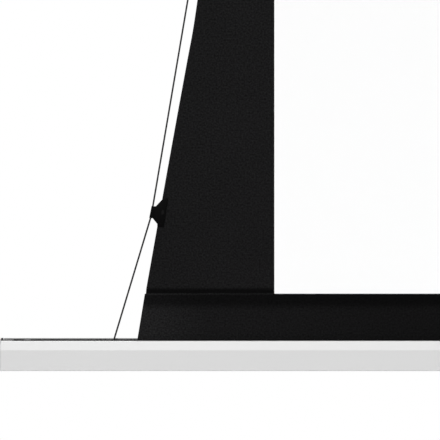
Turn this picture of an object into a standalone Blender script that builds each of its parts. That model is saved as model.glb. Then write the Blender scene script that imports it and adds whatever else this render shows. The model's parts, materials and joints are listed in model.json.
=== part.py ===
"""Electric projection screen: tensioned fabric that rolls up into a slim case.

The origin is the centre of the case's top face. X runs along the case, the
viewer looks along +Y, the wall is on the +Y side and +Z is up. Units: metres.
"""
import math

import bmesh
import bpy
from mathutils import Matrix, Vector
from mathutils.geometry import interpolate_bezier

# General
CLEARANCE = 0.0003
CUT_OVERRUN = 0.002
FUSE = 0.001
ROUND_STEPS = 40
SMALL_STEPS = 20
CORNER_STEPS = 4
MERGE_DISTANCE = 0.00001
SMOOTH_ANGLE = math.radians(35)

# Fabric: picture, black borders, seam
VIEW_WIDTH = 2.214
VIEW_HEIGHT = 1.245
TOP_DROP = 0.370
BOTTOM_DROP = 0.0565
FABRIC_THICKNESS = 0.0005
SEAM_STEP = 0.0007
BORDER_AT_END = 0.1653
# Height above the bar as a share of half the fabric, and border width as a share of the widest
BORDER_SHARES = (
    (0.0, 1.0), (0.0725, 0.940), (0.1596, 0.862), (0.290, 0.744), (0.4061, 0.637),
    (0.4495, 0.596), (0.4931, 0.563), (0.593, 0.490), (0.780, 0.409), (1.0, 0.372),
)

# Tension cables and the tabs that hold them
CABLE_RADIUS = 0.0009
CABLE_PAST_STRIP = 0.0298
CABLE_PAST_BORDER = 0.0097
FIRST_TAB_SHARE = 0.1807
TAB_COUNT = 5
TAB_THICKNESS = 0.004
TAB_WALL = 0.0007
TAB_BEND_ABOVE = 0.0102
TAB_BEND_BELOW = 0.0032
TAB_NOSE_TOP = 0.0080
TAB_NOSE_BOTTOM = 0.0065
TAB_FLANK_IN = 0.0035
TAB_FLANK_TOP = 0.0175
TAB_FLANK_BOTTOM = 0.0119
TAB_EDGE_IN = 0.0092
TAB_BASE_TOP = 0.0205
TAB_BASE_BOTTOM = 0.0142
TAB_BASE_IN = 0.0155
TAB_SLOT_START = 0.0068

# Lower bar
BAR_PAST_CABLE = 0.1369
BAR_HEIGHT = 0.0356
BAR_DEPTH = 0.024
BAR_TOP_INSET = 0.0028
BAR_BASE_INSET = 0.0007
BAR_FACET_DROP = 0.0105
BAR_EDGE_RADIUS = 0.001
BAR_WALL = 0.0016
BAR_LIP = 0.002
BAR_SLOT_WIDTH = 0.0084
BAR_WEB_DROP = 0.0155
BAR_CAP_FLANGE = 0.0025
BAR_CAP_SEAT_WALL = 0.0006
BAR_CAP_DEPTH = 0.0125
BAR_CAP_SLOT_DROP = 0.0006
HEM_FILL_SHARE = 0.77
HEM_WALL = 0.0007
HEM_STEM_DROP = 0.001
WEIGHT_FILL_SHARE = 0.65
WEIGHT_INSET = 0.139
TENSION_SCREW_RADIUS = 0.0025
TENSION_HEAD_RADIUS = 0.0042
TENSION_SOCKET = 0.0018
TENSION_BLOCK_LENGTH = 0.018
TENSION_BLOCK_SIDE_GAP = 0.0007
TENSION_SCREW_TAIL = 0.010

# Case
CASE_HEIGHT = 0.142
CASE_DEPTH = 0.128
CASE_WALL = 0.002
CASE_RADIUS = 0.005
CASE_FACET_DROP = 0.040
CASE_FACET_SETBACK = 0.0065
CASE_SLOT_WIDTH = 0.032
CASE_SLOT_LIP = 0.008
SEAM_SETBACK = 0.018
SEAM_OVERLAP = 0.006
SEAM_TONGUE = 0.009
RAIL_HEIGHT = 0.007
RAIL_WIDTH = 0.044
RAIL_GAP = 0.024
RAIL_WALL = 0.002
RAIL_FLANGE = 0.0015
END_CAP_THICKNESS = 0.004
END_CAP_TONGUE_WALL = 0.0025
END_CAP_TONGUE_LENGTH = 0.017
END_PLATE_THICKNESS = 0.003
BAR_END_GAP = 0.011

# Roller
ROLLER_DROP = 0.058
ROLLER_FORWARD = 0.008
ROLLER_RADIUS = 0.035
ROLLER_WALL = 0.0015
KEYWAY_WIDTH = 0.0046
KEYWAY_DEPTH = 0.0044
WRAP_THICKNESS = 0.0009
FLANGE_THICKNESS = 0.0024

# Tubular motor
MOTOR_RADIUS = 0.0225
MOTOR_WALL = 0.002
MOTOR_LENGTH = 0.528
MOTOR_HEAD_RADIUS = 0.031
MOTOR_HEAD_THICKNESS = 0.012
MOTOR_STUB = 0.0196
MOTOR_STUB_SETBACK = 0.0017
CORE_SETBACK = 0.030
CORE_GAP = 0.028
GEARBOX_SPIGOT = 0.190
GEARBOX_FLANGE = 0.006
SHAFT_RADIUS = 0.006
SHAFT_LENGTH = 0.034
CROWN_LENGTH = 0.020
DRIVE_WHEEL_LENGTH = 0.020
BRACKET_BLOCK = 0.060
BRACKET_BLOCK_THICKNESS = 0.0094
LIMIT_SCREW_RADIUS = 0.003
LIMIT_SCREW_LENGTH = 0.009
LIMIT_SCREW_SPACING = 0.018
LIMIT_SCREW_PROUD = 0.001
LIMIT_SOCKET = 0.002
LIMIT_SOCKET_DEPTH = 0.004

# Idler end
IDLER_PLUG_LENGTH = 0.040
BEARING_RADIUS = 0.013
BEARING_WIDTH = 0.010
IDLER_PIN_RADIUS = 0.006
IDLER_COLLAR_RADIUS = 0.009
IDLER_PIN_TAIL = 0.006

# Control parts
CONTROL_LENGTH = 0.160
CONTROL_DEPTH = 0.022
CONTROL_HEIGHT = 0.036
CONTROL_DROP = 0.020
CONTROL_INSET = 0.075
CONTROL_EDGE = 0.002
GLAND_BORE = 0.004
GLAND_BARREL = 0.007
GLAND_FLANGE = 0.011
GLAND_FLANGE_LENGTH = 0.006
GLAND_REAR_INSET = 0.017
GLAND_DROP = 0.034
WINDOW_BARREL = 0.0045
WINDOW_FLANGE = 0.007
WINDOW_FLANGE_LENGTH = 0.0015
WINDOW_DEPTH = 0.008
WINDOW_INSET = 0.170
WINDOW_RISE = 0.022
LEAD_RADIUS = 0.003
LEAD_STEPS = 14

# Wall brackets
WALL_BRACKET_INSET = 0.420
WALL_BRACKET_WIDTH = 0.060
WALL_BRACKET_PLATE = 0.003
WALL_BRACKET_RISE = 0.066
WALL_BRACKET_FRONT_LIP = 0.0047
WALL_BRACKET_BEND = 0.001
WALL_SLOT_WIDTH = 0.030
WALL_SLOT_HEIGHT = 0.008
WALL_SLOT_RISE = 0.040
RAIL_BOLT_RADIUS = 0.004
RAIL_BOLT_FLOOR_GAP = 0.0022
RAIL_BOLT_HEAD_LENGTH = 0.014
RAIL_BOLT_TAIL = 0.012
CLAMP_NUT_RADIUS = 0.0075
CLAMP_NUT_HEIGHT = 0.0065

# Places that follow from the sizes above
ROLLER_Y = -ROLLER_FORWARD
ROLLER_Z = -ROLLER_DROP
WRAP_RADIUS = ROLLER_RADIUS + CLEARANCE + WRAP_THICKNESS
FABRIC_Y = ROLLER_Y + WRAP_RADIUS + CLEARANCE + FABRIC_THICKNESS / 2
VIEW_TOP = ROLLER_Z - TOP_DROP
VIEW_BOTTOM = VIEW_TOP - VIEW_HEIGHT
BAR_TOP = VIEW_BOTTOM - BOTTOM_DROP
FABRIC_HALF = (ROLLER_Z - BAR_TOP) / 2
VIEW_EDGE = VIEW_WIDTH / 2
CABLE_X_AT_BAR = VIEW_EDGE + BORDER_AT_END + CABLE_PAST_STRIP
BAR_END = CABLE_X_AT_BAR + BAR_PAST_CABLE
BAR_TOP_HALF = BAR_DEPTH / 2 - BAR_TOP_INSET
BAR_BASE_HALF = BAR_DEPTH / 2 - BAR_BASE_INSET
BAR_CHANNEL_HALF = BAR_TOP_HALF - BAR_WALL + CLEARANCE
HEM_RADIUS = HEM_FILL_SHARE * (BAR_WEB_DROP - BAR_LIP) / 2
HEM_ROD_RADIUS = HEM_RADIUS - HEM_WALL - CLEARANCE
WEIGHT_RADIUS = WEIGHT_FILL_SHARE * (BAR_HEIGHT - BAR_WEB_DROP - 2 * BAR_WALL) / 2
TENSION_SCREW_DROP = (BAR_LIP + BAR_WEB_DROP) / 2
TENSION_HEAD_HEIGHT = BAR_CAP_FLANGE - BAR_CAP_SEAT_WALL - CLEARANCE
END_PLATE_X = BAR_END + BAR_END_GAP
CASE_BACK = CASE_DEPTH / 2
CASE_FRONT = -CASE_DEPTH / 2
CASE_END = END_PLATE_X + END_PLATE_THICKNESS + END_CAP_TONGUE_LENGTH
SEAM_Y = CASE_FRONT + SEAM_SETBACK
BLOCK_OUTER_X = END_PLATE_X - CLEARANCE
BLOCK_INNER_X = BLOCK_OUTER_X - BRACKET_BLOCK_THICKNESS
MOTOR_HEAD_X = -BLOCK_INNER_X + CLEARANCE + MOTOR_HEAD_THICKNESS
ROLLER_END = -MOTOR_HEAD_X - CLEARANCE - FLANGE_THICKNESS - CLEARANCE
PLUG_RADIUS = ROLLER_RADIUS - ROLLER_WALL - CLEARANCE

ALONG_X = (math.radians(90), 0, math.radians(90))
UPRIGHT = (math.radians(90), 0, 0)
FLAT = (0, 0, 0)
LEFT = -1
RIGHT = 1
SIDES = ((LEFT, "left"), (RIGHT, "right"))

WHITE_PAINT = ((0.82, 0.82, 0.82), 0.38, 0.0)
WHITE_PLASTIC = ((0.80, 0.80, 0.79), 0.45, 0.0)
WHITE_FABRIC = ((0.92, 0.92, 0.92), 0.90, 0.0)
BLACK_FABRIC = ((0.012, 0.012, 0.012), 0.85, 0.0)
BLACK_PLASTIC = ((0.015, 0.015, 0.015), 0.45, 0.0)
CABLE_STEEL = ((0.06, 0.06, 0.06), 0.40, 0.8)
ZINC_STEEL = ((0.55, 0.56, 0.58), 0.35, 1.0)
DARK_STEEL = ((0.20, 0.20, 0.21), 0.45, 1.0)
BARE_ALUMINIUM = ((0.72, 0.73, 0.74), 0.35, 1.0)
GREY_NYLON = ((0.35, 0.35, 0.36), 0.55, 0.0)
ROD_GLASSFIBRE = ((0.75, 0.73, 0.62), 0.50, 0.0)
RED_WINDOW = ((0.10, 0.005, 0.008), 0.10, 0.0)


def start_scene():
    """Empty the scene and make the two collections."""
    for old in list(bpy.context.scene.objects):
        bpy.data.objects.remove(old, do_unlink=True)
    made = []
    for name in ("projection_screen", "cutters"):
        group = bpy.data.collections.new(name)
        bpy.context.scene.collection.children.link(group)
        made.append(group)
    return made


PARTS, CUTTERS = start_scene()


def finish(piece, look):
    """Give a piece its own material, and smooth shading that stays sharp at its edges."""
    colour, roughness, metallic = look
    material = bpy.data.materials.new(piece.name)
    material.use_nodes = True
    shader = material.node_tree.nodes["Principled BSDF"]
    shader.inputs["Base Color"].default_value = (*colour, 1)
    shader.inputs["Roughness"].default_value = roughness
    shader.inputs["Metallic"].default_value = metallic
    material.diffuse_color = (*colour, 1)
    piece.data.materials.append(material)
    if piece.type == "MESH":
        piece.data.shade_smooth()
        piece.data.set_sharp_from_angle(angle=SMOOTH_ANGLE)
    return piece


def placed(name, data, turn=(0, 0, 0), place=(0, 0, 0)):
    piece = bpy.data.objects.new(name, data)
    piece.rotation_euler = turn
    piece.location = place
    PARTS.objects.link(piece)
    return piece


def as_mesh(curve):
    """Replace a curve object by a closed mesh object."""
    bpy.context.view_layer.update()
    graph = bpy.context.evaluated_depsgraph_get()
    mesh = bpy.data.meshes.new_from_object(curve.evaluated_get(graph))
    shape = bmesh.new()
    shape.from_mesh(mesh)
    bmesh.ops.remove_doubles(shape, verts=shape.verts, dist=MERGE_DISTANCE)
    shape.to_mesh(mesh)
    shape.free()
    name, matrix = curve.name, curve.matrix_world.copy()
    bpy.data.objects.remove(curve, do_unlink=True)
    piece = placed(name, mesh)
    piece.matrix_world = matrix
    return piece


def combine(piece, other, operation):
    """Cut the other shape from a piece, or join it to the piece."""
    CUTTERS.objects.link(other)
    PARTS.objects.unlink(other)
    other.hide_render = True
    other.display_type = "WIRE"
    step = piece.modifiers.new(f"{operation.lower()} {other.name}", "BOOLEAN")
    step.operation = operation
    step.object = other
    return piece


def cut(piece, other):
    return combine(piece, other, "DIFFERENCE")


def join(piece, other):
    return combine(piece, other, "UNION")


def outline(name, loops, thickness, turn, place=(0, 0, 0)):
    """A flat outline with any holes, made thick evenly about its own plane, as a closed mesh."""
    curve = bpy.data.curves.new(name, "CURVE")
    curve.dimensions = "2D"
    curve.fill_mode = "BOTH"
    curve.extrude = thickness / 2
    for loop in loops:
        spline = curve.splines.new("POLY")
        spline.points.add(len(loop) - 1)
        for point, (across, up) in zip(spline.points, loop):
            point.co = (across, up, 0, 1)
        spline.use_cyclic_u = True
    return as_mesh(placed(name, curve, turn, place))


def profile(name, loops, start, end, y=0, z=0):
    """A cross-section drawn in Y and Z that runs along X from start to end."""
    return outline(name, loops, abs(end - start), ALONG_X, ((start + end) / 2, y, z))


def sheet(name, loops, thickness, y):
    """A face drawn in X and Z, centred on y."""
    return outline(name, loops, thickness, UPRIGHT, (0, y, 0))


def tube(name, points, radius, place=(0, 0, 0)):
    """A wire or lead through a list of points."""
    curve = bpy.data.curves.new(name, "CURVE")
    curve.dimensions = "3D"
    curve.bevel_depth = radius
    curve.bevel_resolution = 2
    curve.use_fill_caps = True
    spline = curve.splines.new("POLY")
    spline.points.add(len(points) - 1)
    for point, spot in zip(spline.points, points):
        point.co = (*spot, 1)
    return placed(name, curve, place=place)


def box(name, low, high):
    """A box between two corners, with its origin at its centre."""
    low, high = Vector(low), Vector(high)
    size = high - low
    mesh = bpy.data.meshes.new(name)
    shape = bmesh.new()
    bmesh.ops.create_cube(shape, size=1, matrix=Matrix.Diagonal((*size, 1)))
    shape.to_mesh(mesh)
    shape.free()
    return placed(name, mesh, place=(low + high) / 2)


def turned(name, steps, turn, place):
    """A turned plug without a bore: (radius, height) points down its outer side."""
    mesh = bpy.data.meshes.new(name)
    shape = bmesh.new()
    ends = [(0, steps[0][1]), *steps, (0, steps[-1][1])]
    spots = [shape.verts.new((radius, 0, height)) for radius, height in ends]
    for first, second in zip(spots, spots[1:]):
        shape.edges.new((first, second))
    shape.to_mesh(mesh)
    shape.free()
    piece = placed(name, mesh, turn, place)
    screw = piece.modifiers.new("turn", "SCREW")
    screw.steps = SMALL_STEPS
    screw.render_steps = SMALL_STEPS
    screw.use_merge_vertices = True
    screw.merge_threshold = MERGE_DISTANCE
    return piece


def circle(radius, steps=ROUND_STEPS, across=0, up=0):
    turns = (2 * math.pi * step / steps for step in range(steps))
    return [(across + radius * math.cos(turn), up + radius * math.sin(turn)) for turn in turns]


def hexagon(radius, across=0, up=0):
    return circle(radius, 6, across, up)


def rectangle(left, bottom, right, top):
    return [(left, bottom), (right, bottom), (right, top), (left, top)]


def keyed_circle(radius, half_width, depth_radius):
    """A circle with the keyway's notch at its top."""
    edge = math.asin(half_width / radius)
    sweep = 2 * math.pi - 2 * edge
    start = math.pi / 2 + edge
    turns = [start + sweep * step / ROUND_STEPS for step in range(ROUND_STEPS + 1)]
    points = [(radius * math.cos(turn), radius * math.sin(turn)) for turn in turns]
    return points + [(half_width, depth_radius), (-half_width, depth_radius)]


def rounded(corners):
    """Corners as (across, up, radius), with an arc in each that has a radius."""
    points = []
    for index, (across, up, radius) in enumerate(corners):
        corner = Vector((across, up))
        if not radius:
            points.append(tuple(corner))
            continue
        back = (Vector(corners[index - 1][:2]) - corner).normalized()
        ahead = (Vector(corners[(index + 1) % len(corners)][:2]) - corner).normalized()
        half = back.angle(ahead) / 2
        reach = radius / math.tan(half)
        centre = corner + (back + ahead).normalized() * radius / math.sin(half)
        first = corner + back * reach - centre
        sweep = (corner + ahead * reach - centre).angle_signed(first)
        for step in range(CORNER_STEPS + 1):
            turn = Matrix.Rotation(sweep * step / CORNER_STEPS, 2)
            points.append(tuple(centre + turn @ first))
    return points


def mirrored(points):
    """The points, then the same points mirrored across in reverse order."""
    return points + [(-across, up, *rest) for across, up, *rest in reversed(points)]


def carrier(name, place):
    """An empty on a joint's axis, which carries a moving group."""
    empty = bpy.data.objects.new(name, None)
    empty.location = place
    PARTS.objects.link(empty)
    return empty


def carry(empty, *pieces):
    for piece in pieces:
        piece.parent = empty
        piece.matrix_parent_inverse = Matrix.Translation(empty.location).inverted()


def between(shares, share):
    """Straight-line reading of a table of shares."""
    for (low, low_value), (high, high_value) in zip(shares, shares[1:]):
        if share <= high:
            return low_value + (high_value - low_value) * (share - low) / (high - low)
    return shares[-1][1]


def border_width(z):
    """Width of the black border at a height; the top mirrors the bottom."""
    share = min(z - BAR_TOP, ROLLER_Z - z) / FABRIC_HALF
    return BORDER_AT_END * between(BORDER_SHARES, max(share, 0))


def border_heights(low, high):
    """Heights at which the border's outer edge bends, within a range."""
    heights = {low, high}
    for share, _ in BORDER_SHARES:
        for z in (BAR_TOP + share * FABRIC_HALF, ROLLER_Z - share * FABRIC_HALF):
            if low < z < high:
                heights.add(z)
    return sorted(heights)


def make_fabric():
    """White viewing surface, black borders, top drop and the welded strip below."""
    thick = FABRIC_THICKNESS
    seam = CLEARANCE / 2
    picture = rectangle(-VIEW_EDGE + seam, VIEW_BOTTOM + seam, VIEW_EDGE - seam, VIEW_TOP - seam)
    finish(sheet("viewing_fabric", [picture], thick, FABRIC_Y), WHITE_FABRIC)
    heights = border_heights(VIEW_BOTTOM + seam, VIEW_TOP - seam)
    for side, word in SIDES:
        inner = [(side * (VIEW_EDGE + seam), heights[-1]), (side * (VIEW_EDGE + seam), heights[0])]
        outer = [(side * (VIEW_EDGE + border_width(z)), z) for z in heights]
        finish(sheet(f"side_border_{word}", [inner + outer], thick, FABRIC_Y), BLACK_FABRIC)
    heights = border_heights(VIEW_TOP + seam, ROLLER_Z)
    edge = [(VIEW_EDGE + border_width(z), z) for z in heights]
    finish(sheet("top_drop", [mirrored(edge)], thick, FABRIC_Y), BLACK_FABRIC)
    foot = BAR_TOP - HEM_STEM_DROP + CLEARANCE
    heights = border_heights(foot, VIEW_BOTTOM - seam)
    edge = [(VIEW_EDGE + SEAM_STEP + border_width(z), z) for z in heights]
    finish(sheet("bottom_border", [mirrored(edge)], thick, FABRIC_Y), BLACK_FABRIC)


def tab_heights():
    """Heights of the bends in the cable, from the lowest tab to the highest."""
    first = FIRST_TAB_SHARE * FABRIC_HALF
    low, high = BAR_TOP + first, ROLLER_Z - first
    return [low + (high - low) * index / (TAB_COUNT - 1) for index in range(TAB_COUNT)]


def past_middle(index):
    """Whether a tab lies in the upper half, where the tabs and the cable's bends are upside down."""
    return index > (TAB_COUNT - 1) / 2


def cable_bends(side):
    """The cable's foot, the points where it enters each tab below and leaves it above, and its head."""
    spots = [Vector((side * CABLE_X_AT_BAR, FABRIC_Y, BAR_TOP - BAR_LIP))]
    for z in tab_heights():
        out = VIEW_EDGE + border_width(z) + CABLE_PAST_BORDER
        spots.append(Vector((side * out, FABRIC_Y, z)))
    roller_seat = ROLLER_Y + ROLLER_RADIUS + CLEARANCE + CABLE_RADIUS
    spots.append(Vector((side * CABLE_X_AT_BAR, roller_seat, ROLLER_Z)))
    bends = []
    for index, (before, spot, after) in enumerate(zip(spots, spots[1:], spots[2:])):
        above, below = TAB_BEND_ABOVE, TAB_BEND_BELOW
        if past_middle(index):
            above, below = below, above
        up = (after - spot).normalized()
        down = (before - spot).normalized()
        up.y = down.y = 0
        bends.append((spot + down * below, spot + up * above))
    return spots[0], bends, spots[-1]


def tab_shape(corners, low, high, side, flipped):
    """Corners given as (along the cable, inwards from it), placed on the face of the screen."""
    centre = (low + high) / 2
    lean = math.atan2(-side * (high.x - low.x), high.z - low.z)
    lean = -lean if flipped else lean
    rise = -1 if flipped else 1
    points = []
    for along, inward in corners:
        across = inward * math.cos(lean) + along * math.sin(lean)
        up = along * math.cos(lean) - inward * math.sin(lean)
        points.append((centre.x - side * across, centre.z + rise * up))
    return points


def make_tab(name, side, before, low, high, after, flipped):
    """A plastic clip: its base grips the border's edge, its nose holds the cable."""
    nose_out = -(CABLE_RADIUS + CLEARANCE + TAB_WALL)
    corners = [
        (TAB_NOSE_TOP, nose_out), (TAB_NOSE_TOP, TAB_FLANK_IN), (TAB_FLANK_TOP, TAB_EDGE_IN),
        (TAB_BASE_TOP, TAB_BASE_IN), (-TAB_BASE_BOTTOM, TAB_BASE_IN), (-TAB_BASE_BOTTOM, TAB_EDGE_IN),
        (-TAB_FLANK_BOTTOM, TAB_EDGE_IN), (-TAB_NOSE_BOTTOM, TAB_FLANK_IN), (-TAB_NOSE_BOTTOM, nose_out),
    ]
    tab = sheet(name, [tab_shape(corners, low, high, side, flipped)], TAB_THICKNESS, FABRIC_Y)
    beyond = TAB_BASE_TOP + TAB_BASE_IN
    slot = [(beyond, TAB_SLOT_START), (beyond, beyond), (-beyond, beyond), (-beyond, TAB_SLOT_START)]
    slot = tab_shape(slot, low, high, side, flipped)
    cut(tab, sheet(f"{name} slot", [slot], FABRIC_THICKNESS + 2 * CLEARANCE, FABRIC_Y))
    start = low + (before - low).normalized() * beyond
    end = high + (after - high).normalized() * beyond
    start.y = end.y = FABRIC_Y
    cut(tab, as_mesh(tube(f"{name} bore", [start, low, high, end], CABLE_RADIUS + CLEARANCE)))
    return finish(tab, BLACK_PLASTIC)


def make_cables():
    """A steel cable down each side, bent at every tab."""
    for side, word in SIDES:
        foot, bends, head = cable_bends(side)
        route = [foot, *[spot for bend in bends for spot in bend], head]
        finish(tube(f"tension_cable_{word}", route, CABLE_RADIUS), CABLE_STEEL)
        for index in range(TAB_COUNT):
            before, low, high, after = route[2 * index:2 * index + 4]
            name = f"cable_tab_{word}_{index + 1}"
            make_tab(name, side, before, low, high, after, past_middle(index))


def bar_side():
    """Right side of the lower bar about the fabric's plane, from its top corner down."""
    return [
        (BAR_TOP_HALF, 0, BAR_EDGE_RADIUS), (BAR_DEPTH / 2, -BAR_FACET_DROP, 0),
        (BAR_BASE_HALF, -BAR_HEIGHT, BAR_EDGE_RADIUS),
    ]


def make_bar():
    """Hollow profile: open channel above a web for the hem, closed chamber below for the weight."""
    end = BAR_END - BAR_CAP_FLANGE - CLEARANCE
    slot = BAR_SLOT_WIDTH / 2
    middle = BAR_DEPTH / 2 - BAR_WALL
    channel = [
        (middle, -BAR_WEB_DROP, 0), (middle, -BAR_FACET_DROP, 0), (BAR_CHANNEL_HALF, -BAR_LIP, 0),
        (slot, -BAR_LIP, 0), (slot, 0, 0),
    ]
    outside = rounded(mirrored(channel + bar_side()))
    base = BAR_BASE_HALF - BAR_WALL
    chamber = rectangle(-base, -BAR_HEIGHT + BAR_WALL, base, -BAR_WEB_DROP - BAR_WALL)
    bar = finish(profile("bar_profile", [outside, chamber], -end, end, FABRIC_Y, BAR_TOP), WHITE_PAINT)
    weight_z = BAR_TOP - BAR_HEIGHT + BAR_WALL + CLEARANCE + WEIGHT_RADIUS
    reach = BAR_END - WEIGHT_INSET
    weight = profile("weight_rod", [circle(WEIGHT_RADIUS, SMALL_STEPS)], -reach, reach, FABRIC_Y, weight_z)
    return [bar, finish(weight, DARK_STEEL)]


def make_hem():
    """The strip's welded hem loop with its stem, and the rod that keeps it in the channel."""
    centre_z = BAR_TOP - BAR_LIP - CLEARANCE - HEM_RADIUS
    reach = VIEW_EDGE + SEAM_STEP + BORDER_AT_END
    stem = FABRIC_THICKNESS / 2
    edge = math.asin(stem / HEM_RADIUS)
    start = math.pi / 2 + edge
    sweep = 2 * math.pi - 2 * edge
    turns = [start + sweep * step / SMALL_STEPS for step in range(SMALL_STEPS + 1)]
    stem_top = BAR_TOP - HEM_STEM_DROP - centre_z
    ring = [(HEM_RADIUS * math.cos(turn), HEM_RADIUS * math.sin(turn)) for turn in turns]
    loop = ring + [(stem, stem_top), (-stem, stem_top)]
    bore = circle(HEM_ROD_RADIUS + CLEARANCE, SMALL_STEPS)
    hem = profile("fabric_hem", [loop, bore], -reach, reach, FABRIC_Y, centre_z)
    rod = profile("hem_rod", [circle(HEM_ROD_RADIUS, SMALL_STEPS)], -reach, reach, FABRIC_Y, centre_z)
    return [finish(hem, BLACK_FABRIC), finish(rod, ROD_GLASSFIBRE)]


def make_bar_cap(side, word):
    """Flange over the profile's end, and an insert that fills the slot and guides the tension screw."""
    outer = side * BAR_END
    inner = outer - side * BAR_CAP_FLANGE
    head = circle(TENSION_HEAD_RADIUS + CLEARANCE, SMALL_STEPS, 0, -TENSION_SCREW_DROP)
    name = f"bar_end_cap_{word}"
    cap = profile(name, [rounded(mirrored(bar_side())), head], outer, inner, FABRIC_Y, BAR_TOP)
    slot = BAR_SLOT_WIDTH / 2 - CLEARANCE
    neck = BAR_CHANNEL_HALF - CLEARANCE
    lip = -BAR_LIP - CLEARANCE
    insert = mirrored([
        (slot, -BAR_CAP_SLOT_DROP), (slot, lip), (neck, lip), (neck, -BAR_WEB_DROP + CLEARANCE),
    ])
    bore = circle(TENSION_SCREW_RADIUS + CLEARANCE, SMALL_STEPS, 0, -TENSION_SCREW_DROP)
    start = inner + side * BAR_CAP_SEAT_WALL
    end = inner - side * BAR_CAP_DEPTH
    join(cap, profile(f"{name} insert", [insert, bore], start, end, FABRIC_Y, BAR_TOP))
    return finish(cap, WHITE_PLASTIC)


def make_tension(side, word):
    """Screw along the bar's channel and the block that it draws outwards with the cable's end."""
    z = BAR_TOP - TENSION_SCREW_DROP
    outer = side * BAR_END
    block_x = side * CABLE_X_AT_BAR
    shank_end = block_x - side * (TENSION_BLOCK_LENGTH / 2 + TENSION_SCREW_TAIL)
    head_end = outer - side * TENSION_HEAD_HEIGHT
    name = f"tension_screw_{word}"
    head = [circle(TENSION_HEAD_RADIUS, SMALL_STEPS), hexagon(TENSION_SOCKET)]
    screw = profile(name, head, outer, head_end, FABRIC_Y, z)
    middle = (outer + head_end) / 2
    shank = circle(TENSION_SCREW_RADIUS, SMALL_STEPS)
    join(screw, profile(f"{name} shank", [shank], middle, shank_end, FABRIC_Y, z))
    finish(screw, ZINC_STEEL)
    half = BAR_CHANNEL_HALF - TENSION_BLOCK_SIDE_GAP
    rise = (BAR_WEB_DROP - BAR_LIP) / 2 - CLEARANCE
    bore = circle(TENSION_SCREW_RADIUS + CLEARANCE, SMALL_STEPS)
    near = block_x - side * TENSION_BLOCK_LENGTH / 2
    far = block_x + side * TENSION_BLOCK_LENGTH / 2
    shape = [rectangle(-half, -rise, half, rise), bore]
    block = finish(profile(f"tension_block_{word}", shape, near, far, FABRIC_Y, z), ZINC_STEEL)
    return screw, block


def case_silhouette():
    """Outside of the case."""
    return [
        (CASE_FRONT + CASE_FACET_SETBACK, 0, CASE_RADIUS), (CASE_BACK, 0, CASE_RADIUS),
        (CASE_BACK, -CASE_HEIGHT, CASE_RADIUS), (CASE_FRONT, -CASE_HEIGHT, CASE_RADIUS),
        (CASE_FRONT, -CASE_FACET_DROP, 0),
    ]


def make_case_back():
    """One profile: top with the bracket rail, back, and the rear half of the bottom."""
    rail, gap = RAIL_WIDTH / 2, RAIL_GAP / 2
    flange = RAIL_HEIGHT - RAIL_FLANGE
    rear = FABRIC_Y + CASE_SLOT_WIDTH / 2
    inside = CASE_BACK - CASE_WALL
    floor = -CASE_HEIGHT + CASE_WALL
    tongue = SEAM_Y - SEAM_TONGUE
    drop = -CASE_WALL - CLEARANCE
    front_rail = [
        (-rail, 0, 0), (-rail, RAIL_HEIGHT, 0), (-gap, RAIL_HEIGHT, 0), (-gap, flange, 0),
        (-rail + RAIL_WALL, flange, 0), (-rail + RAIL_WALL, 0, 0),
    ]
    corners = [(SEAM_Y, 0, 0), *mirrored(front_rail)]
    corners += [(CASE_BACK, 0, CASE_RADIUS), (CASE_BACK, -CASE_HEIGHT, CASE_RADIUS)]
    corners += [
        (rear, -CASE_HEIGHT, 0), (rear, -CASE_HEIGHT + CASE_SLOT_LIP, 0),
        (rear + CASE_WALL, -CASE_HEIGHT + CASE_SLOT_LIP, 0), (rear + CASE_WALL, floor, 0),
    ]
    corners += [(inside, floor, CASE_RADIUS - CASE_WALL), (inside, -CASE_WALL, CASE_RADIUS - CASE_WALL)]
    corners += [
        (SEAM_Y + SEAM_OVERLAP, -CASE_WALL, 0), (SEAM_Y + SEAM_OVERLAP, drop - CASE_WALL, 0),
        (tongue, drop - CASE_WALL, 0), (tongue, drop, 0), (SEAM_Y, drop, 0),
    ]
    finish(profile("case_back", [rounded(corners)], -CASE_END, CASE_END), WHITE_PAINT)


def make_case_front():
    """Front cover: top edge, facet, front, part of the bottom, and the infrared window's hole."""
    front = CASE_FRONT
    edge = FABRIC_Y - CASE_SLOT_WIDTH / 2
    floor = -CASE_HEIGHT + CASE_WALL
    corners = [
        (SEAM_Y - CLEARANCE, 0, 0), (SEAM_Y - CLEARANCE, -CASE_WALL, 0),
        (front + CASE_FACET_SETBACK + CASE_WALL, -CASE_WALL, 0),
        (front + CASE_WALL, -CASE_FACET_DROP, 0), (front + CASE_WALL, floor, CASE_RADIUS - CASE_WALL),
        (edge - CASE_WALL, floor, 0), (edge - CASE_WALL, -CASE_HEIGHT + CASE_SLOT_LIP, 0),
        (edge, -CASE_HEIGHT + CASE_SLOT_LIP, 0), (edge, -CASE_HEIGHT, 0),
        (front, -CASE_HEIGHT, CASE_RADIUS), (front, -CASE_FACET_DROP, 0),
        (front + CASE_FACET_SETBACK, 0, CASE_RADIUS - CASE_WALL),
    ]
    cover = profile("case_front", [rounded(corners)], -CASE_END, CASE_END)
    x, z = -CASE_END + WINDOW_INSET, -CASE_HEIGHT + WINDOW_RISE
    hole = circle(WINDOW_BARREL + CLEARANCE, SMALL_STEPS, x, z)
    depth = 2 * (CASE_WALL + CUT_OVERRUN)
    cut(cover, sheet("window hole", [hole], depth, front))
    finish(cover, WHITE_PAINT)
    steps = [
        (WINDOW_FLANGE, WINDOW_FLANGE_LENGTH), (WINDOW_FLANGE, 0), (WINDOW_BARREL, 0),
        (WINDOW_BARREL, -WINDOW_DEPTH),
    ]
    window = turned("infrared_window", steps, UPRIGHT, (x, front - CLEARANCE, z))
    finish(window, RED_WINDOW)


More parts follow.
